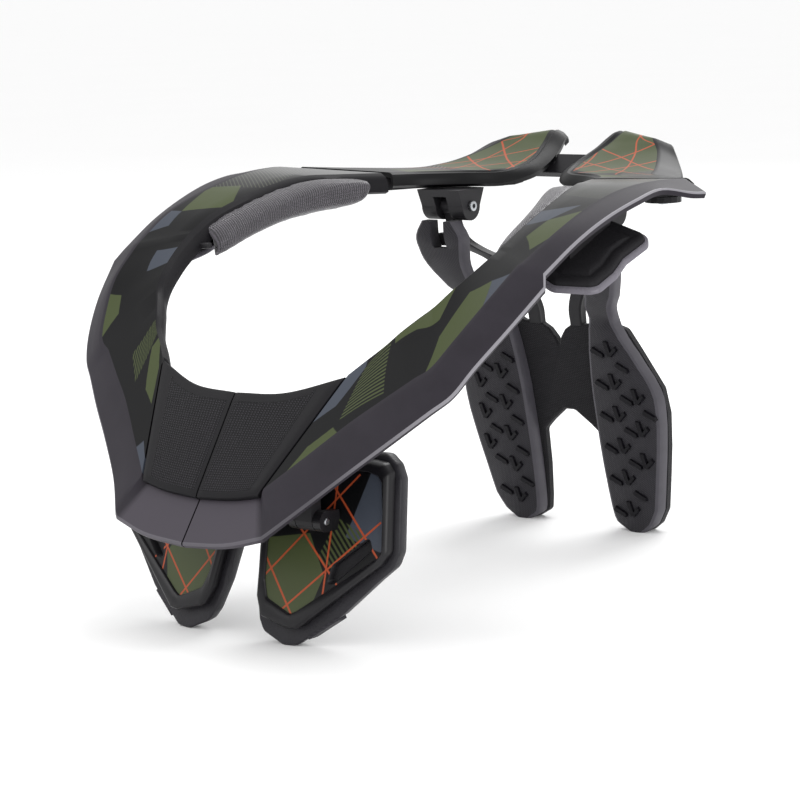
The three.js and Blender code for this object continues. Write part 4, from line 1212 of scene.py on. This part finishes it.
def addEar(bm, way):
    x, y, z = chest["axis"]
    near = x + way * 0.0054
    far = near + way * 0.0045
    r, back = 0.005, chestPoint(x, z, chest["recess"] + 0.001).y
    outline = [(y + r * math.sin(t * math.pi / 8), z + r * math.cos(t * math.pi / 8))
               for t in range(0, -9, -1)]
    outline = [(back, z + r - 0.001)] + outline + [(back, z - r)]
    verts = [bm.verts.new((near, a, b)) for a, b in outline]
    edges = [bm.edges.new(pair) for pair in zip(verts, verts[1:] + verts[:1])]
    face = bmesh.ops.contextual_create(bm, geom=edges)["faces"]
    grown = bmesh.ops.extrude_face_region(bm, geom=face)["geom"]
    moved = [g for g in grown if isinstance(g, bmesh.types.BMVert)]
    bmesh.ops.translate(bm, vec=(far - near, 0, 0), verts=moved)
    bmesh.ops.contextual_create(bm, geom=[e for e in edges if e.is_valid and e.is_boundary])


def buildChestPad():
    c = chest
    start, end = c["frameDepth"] + c["gap"], c["frameDepth"] + c["gap"] + c["padDepth"]
    steps = [(0.012, start), (0.0022, start), (0.0008, start + 0.0002), (0.0001, start + 0.0009),
             (0, start + 0.002), (0.0002, start + 0.0042),
             (0.0006, end - 0.0025), (0.0018, end - 0.0008), (0.004, end), (0.012, end)]
    bm = bmesh.new()
    growRings(bm, [chestRing("pad", inset, depth, 0.006) for inset, depth in steps])
    for piece in addPair("chestPad", bm, ["rimRubber"], "chest_{side}", ["chest_pad_{side}"], 40):
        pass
    # the strap tab let into its lower outer edge
    (x0, z0), (x1, z1) = (Vector((x * c["width"], z * c["height"])) for x, z in c["tab"])
    side = Vector((x1 - x0, z1 - z0)).normalized()
    out = Vector((side.y, -side.x))
    corners = [Vector((x, z)) + out * d for (x, z), d in
               (((x0, z0), -0.003), ((x0, z0), 0.0007), ((x1, z1), 0.0007), ((x1, z1), -0.003))]
    tab = bmesh.new()
    growRings(tab, [[chestPoint(p.x, p.y, depth) for p in insetLoop(corners, inset)] for inset, depth in
                    ((0.0005, start + 0.0003), (0, start + 0.0008), (0, end - 0.0015),
                     (0.0005, end - 0.001))])
    addPair("chestTab", tab, ["strap"], "chest_{side}", [])


buildChestPlate()
buildChestPad()
print("brace: chest plates and pads built")

# ---- pivot screws: round head with a socket for a hex key, modelled as a round recess
screw = {"at": (0.048, 0.10238, 0.1826), "half": 0.014, "shaft": 0.002, "head": 0.0028,
         "headHeight": 0.0014, "socket": 0.0013, "gap": 0.0004}


def buildScrews():
    c = screw
    x, y, z = c["at"]
    bm = bmesh.new()
    face = x - c["half"] - c["gap"]
    for radius, x0, x1 in ((c["shaft"], face - 0.0002, x + c["half"]),
                           (c["head"], face - c["headHeight"], face)):
        made = bmesh.ops.create_cone(bm, cap_ends=True, segments=36, radius1=radius, radius2=radius,
                                     depth=x1 - x0)["verts"]
        bmesh.ops.rotate(bm, cent=(0, 0, 0), matrix=Matrix.Rotation(math.pi / 2, 3, "Y"), verts=made)
        bmesh.ops.translate(bm, vec=((x0 + x1) / 2, y, z), verts=made)
    tip = min((f for f in bm.faces if len(f.verts) == 36), key=lambda f: f.calc_center_median().x)
    bevelEdges(bm, list(tip.edges), 0.0003, 3)
    tip = min((f for f in bm.faces if len(f.verts) == 36), key=lambda f: f.calc_center_median().x)
    bmesh.ops.inset_region(bm, faces=[tip], thickness=c["head"] - 0.0003 - c["socket"],
                           use_even_offset=True)
    bmesh.ops.inset_region(bm, faces=[tip], thickness=0.0001, depth=-0.001, use_even_offset=True)
    tip.material_index = 1
    addPair("hingeScrew", bm, ["steel", "nylon"], "rear", ["hinge_screw_{side}"], 30)


buildScrews()

# ---- the rest of the frame: welded, with small bevels, and its own moulded finish
keptNodes = {
    "nylon": ["shoulder_mount", "arm_lug", "rear_lug", "rear_rail", "hinge_bracket", "chest_bracket"],
    "steel": ["arm_pin", "chest_pin"],
}
for lookName, stems in keptNodes.items():
    for name in (f"{stem}_{side}" for stem in stems for side in ("left", "right")):
        nodes[name].data.materials.clear()
        nodes[name].data.materials.append(looks[lookName])
nodes["rear_link"].data.materials.clear()
nodes["rear_link"].data.materials.append(looks["nylon"])
for name, obj in nodes.items():
    if obj.hide_render:
        continue
    weld = obj.modifiers.new("weld", "WELD")
    weld.merge_threshold = 0.00001
    soften = obj.modifiers.new("soften", "BEVEL")
    soften.width, soften.segments = 0.0005, 2
    soften.limit_method, soften.angle_limit = "ANGLE", math.radians(35)
    soften.use_clamp_overlap = True
print("brace: kept nodes finished")


def addFloor():
    bm = bmesh.new()
    bmesh.ops.create_grid(bm, x_segments=1, y_segments=1, size=45)
    look = Look("paleFloor", Roughness=0.9, Specular_IOR_Level=0.1)
    tone = look.noise(look.plan(), 3, 2)
    shade = studio["floor"]
    material = look.wire(look.mix(tone, (shade, shade, shade), (shade * 1.02,) * 3))
    mesh = finishMesh(bm, "paleFloor")
    mesh.materials.append(material)
    floor = bpy.data.objects.new("paleFloor", mesh)
    bpy.context.scene.collection.objects.link(floor)


addFloor()
print("brace: done")
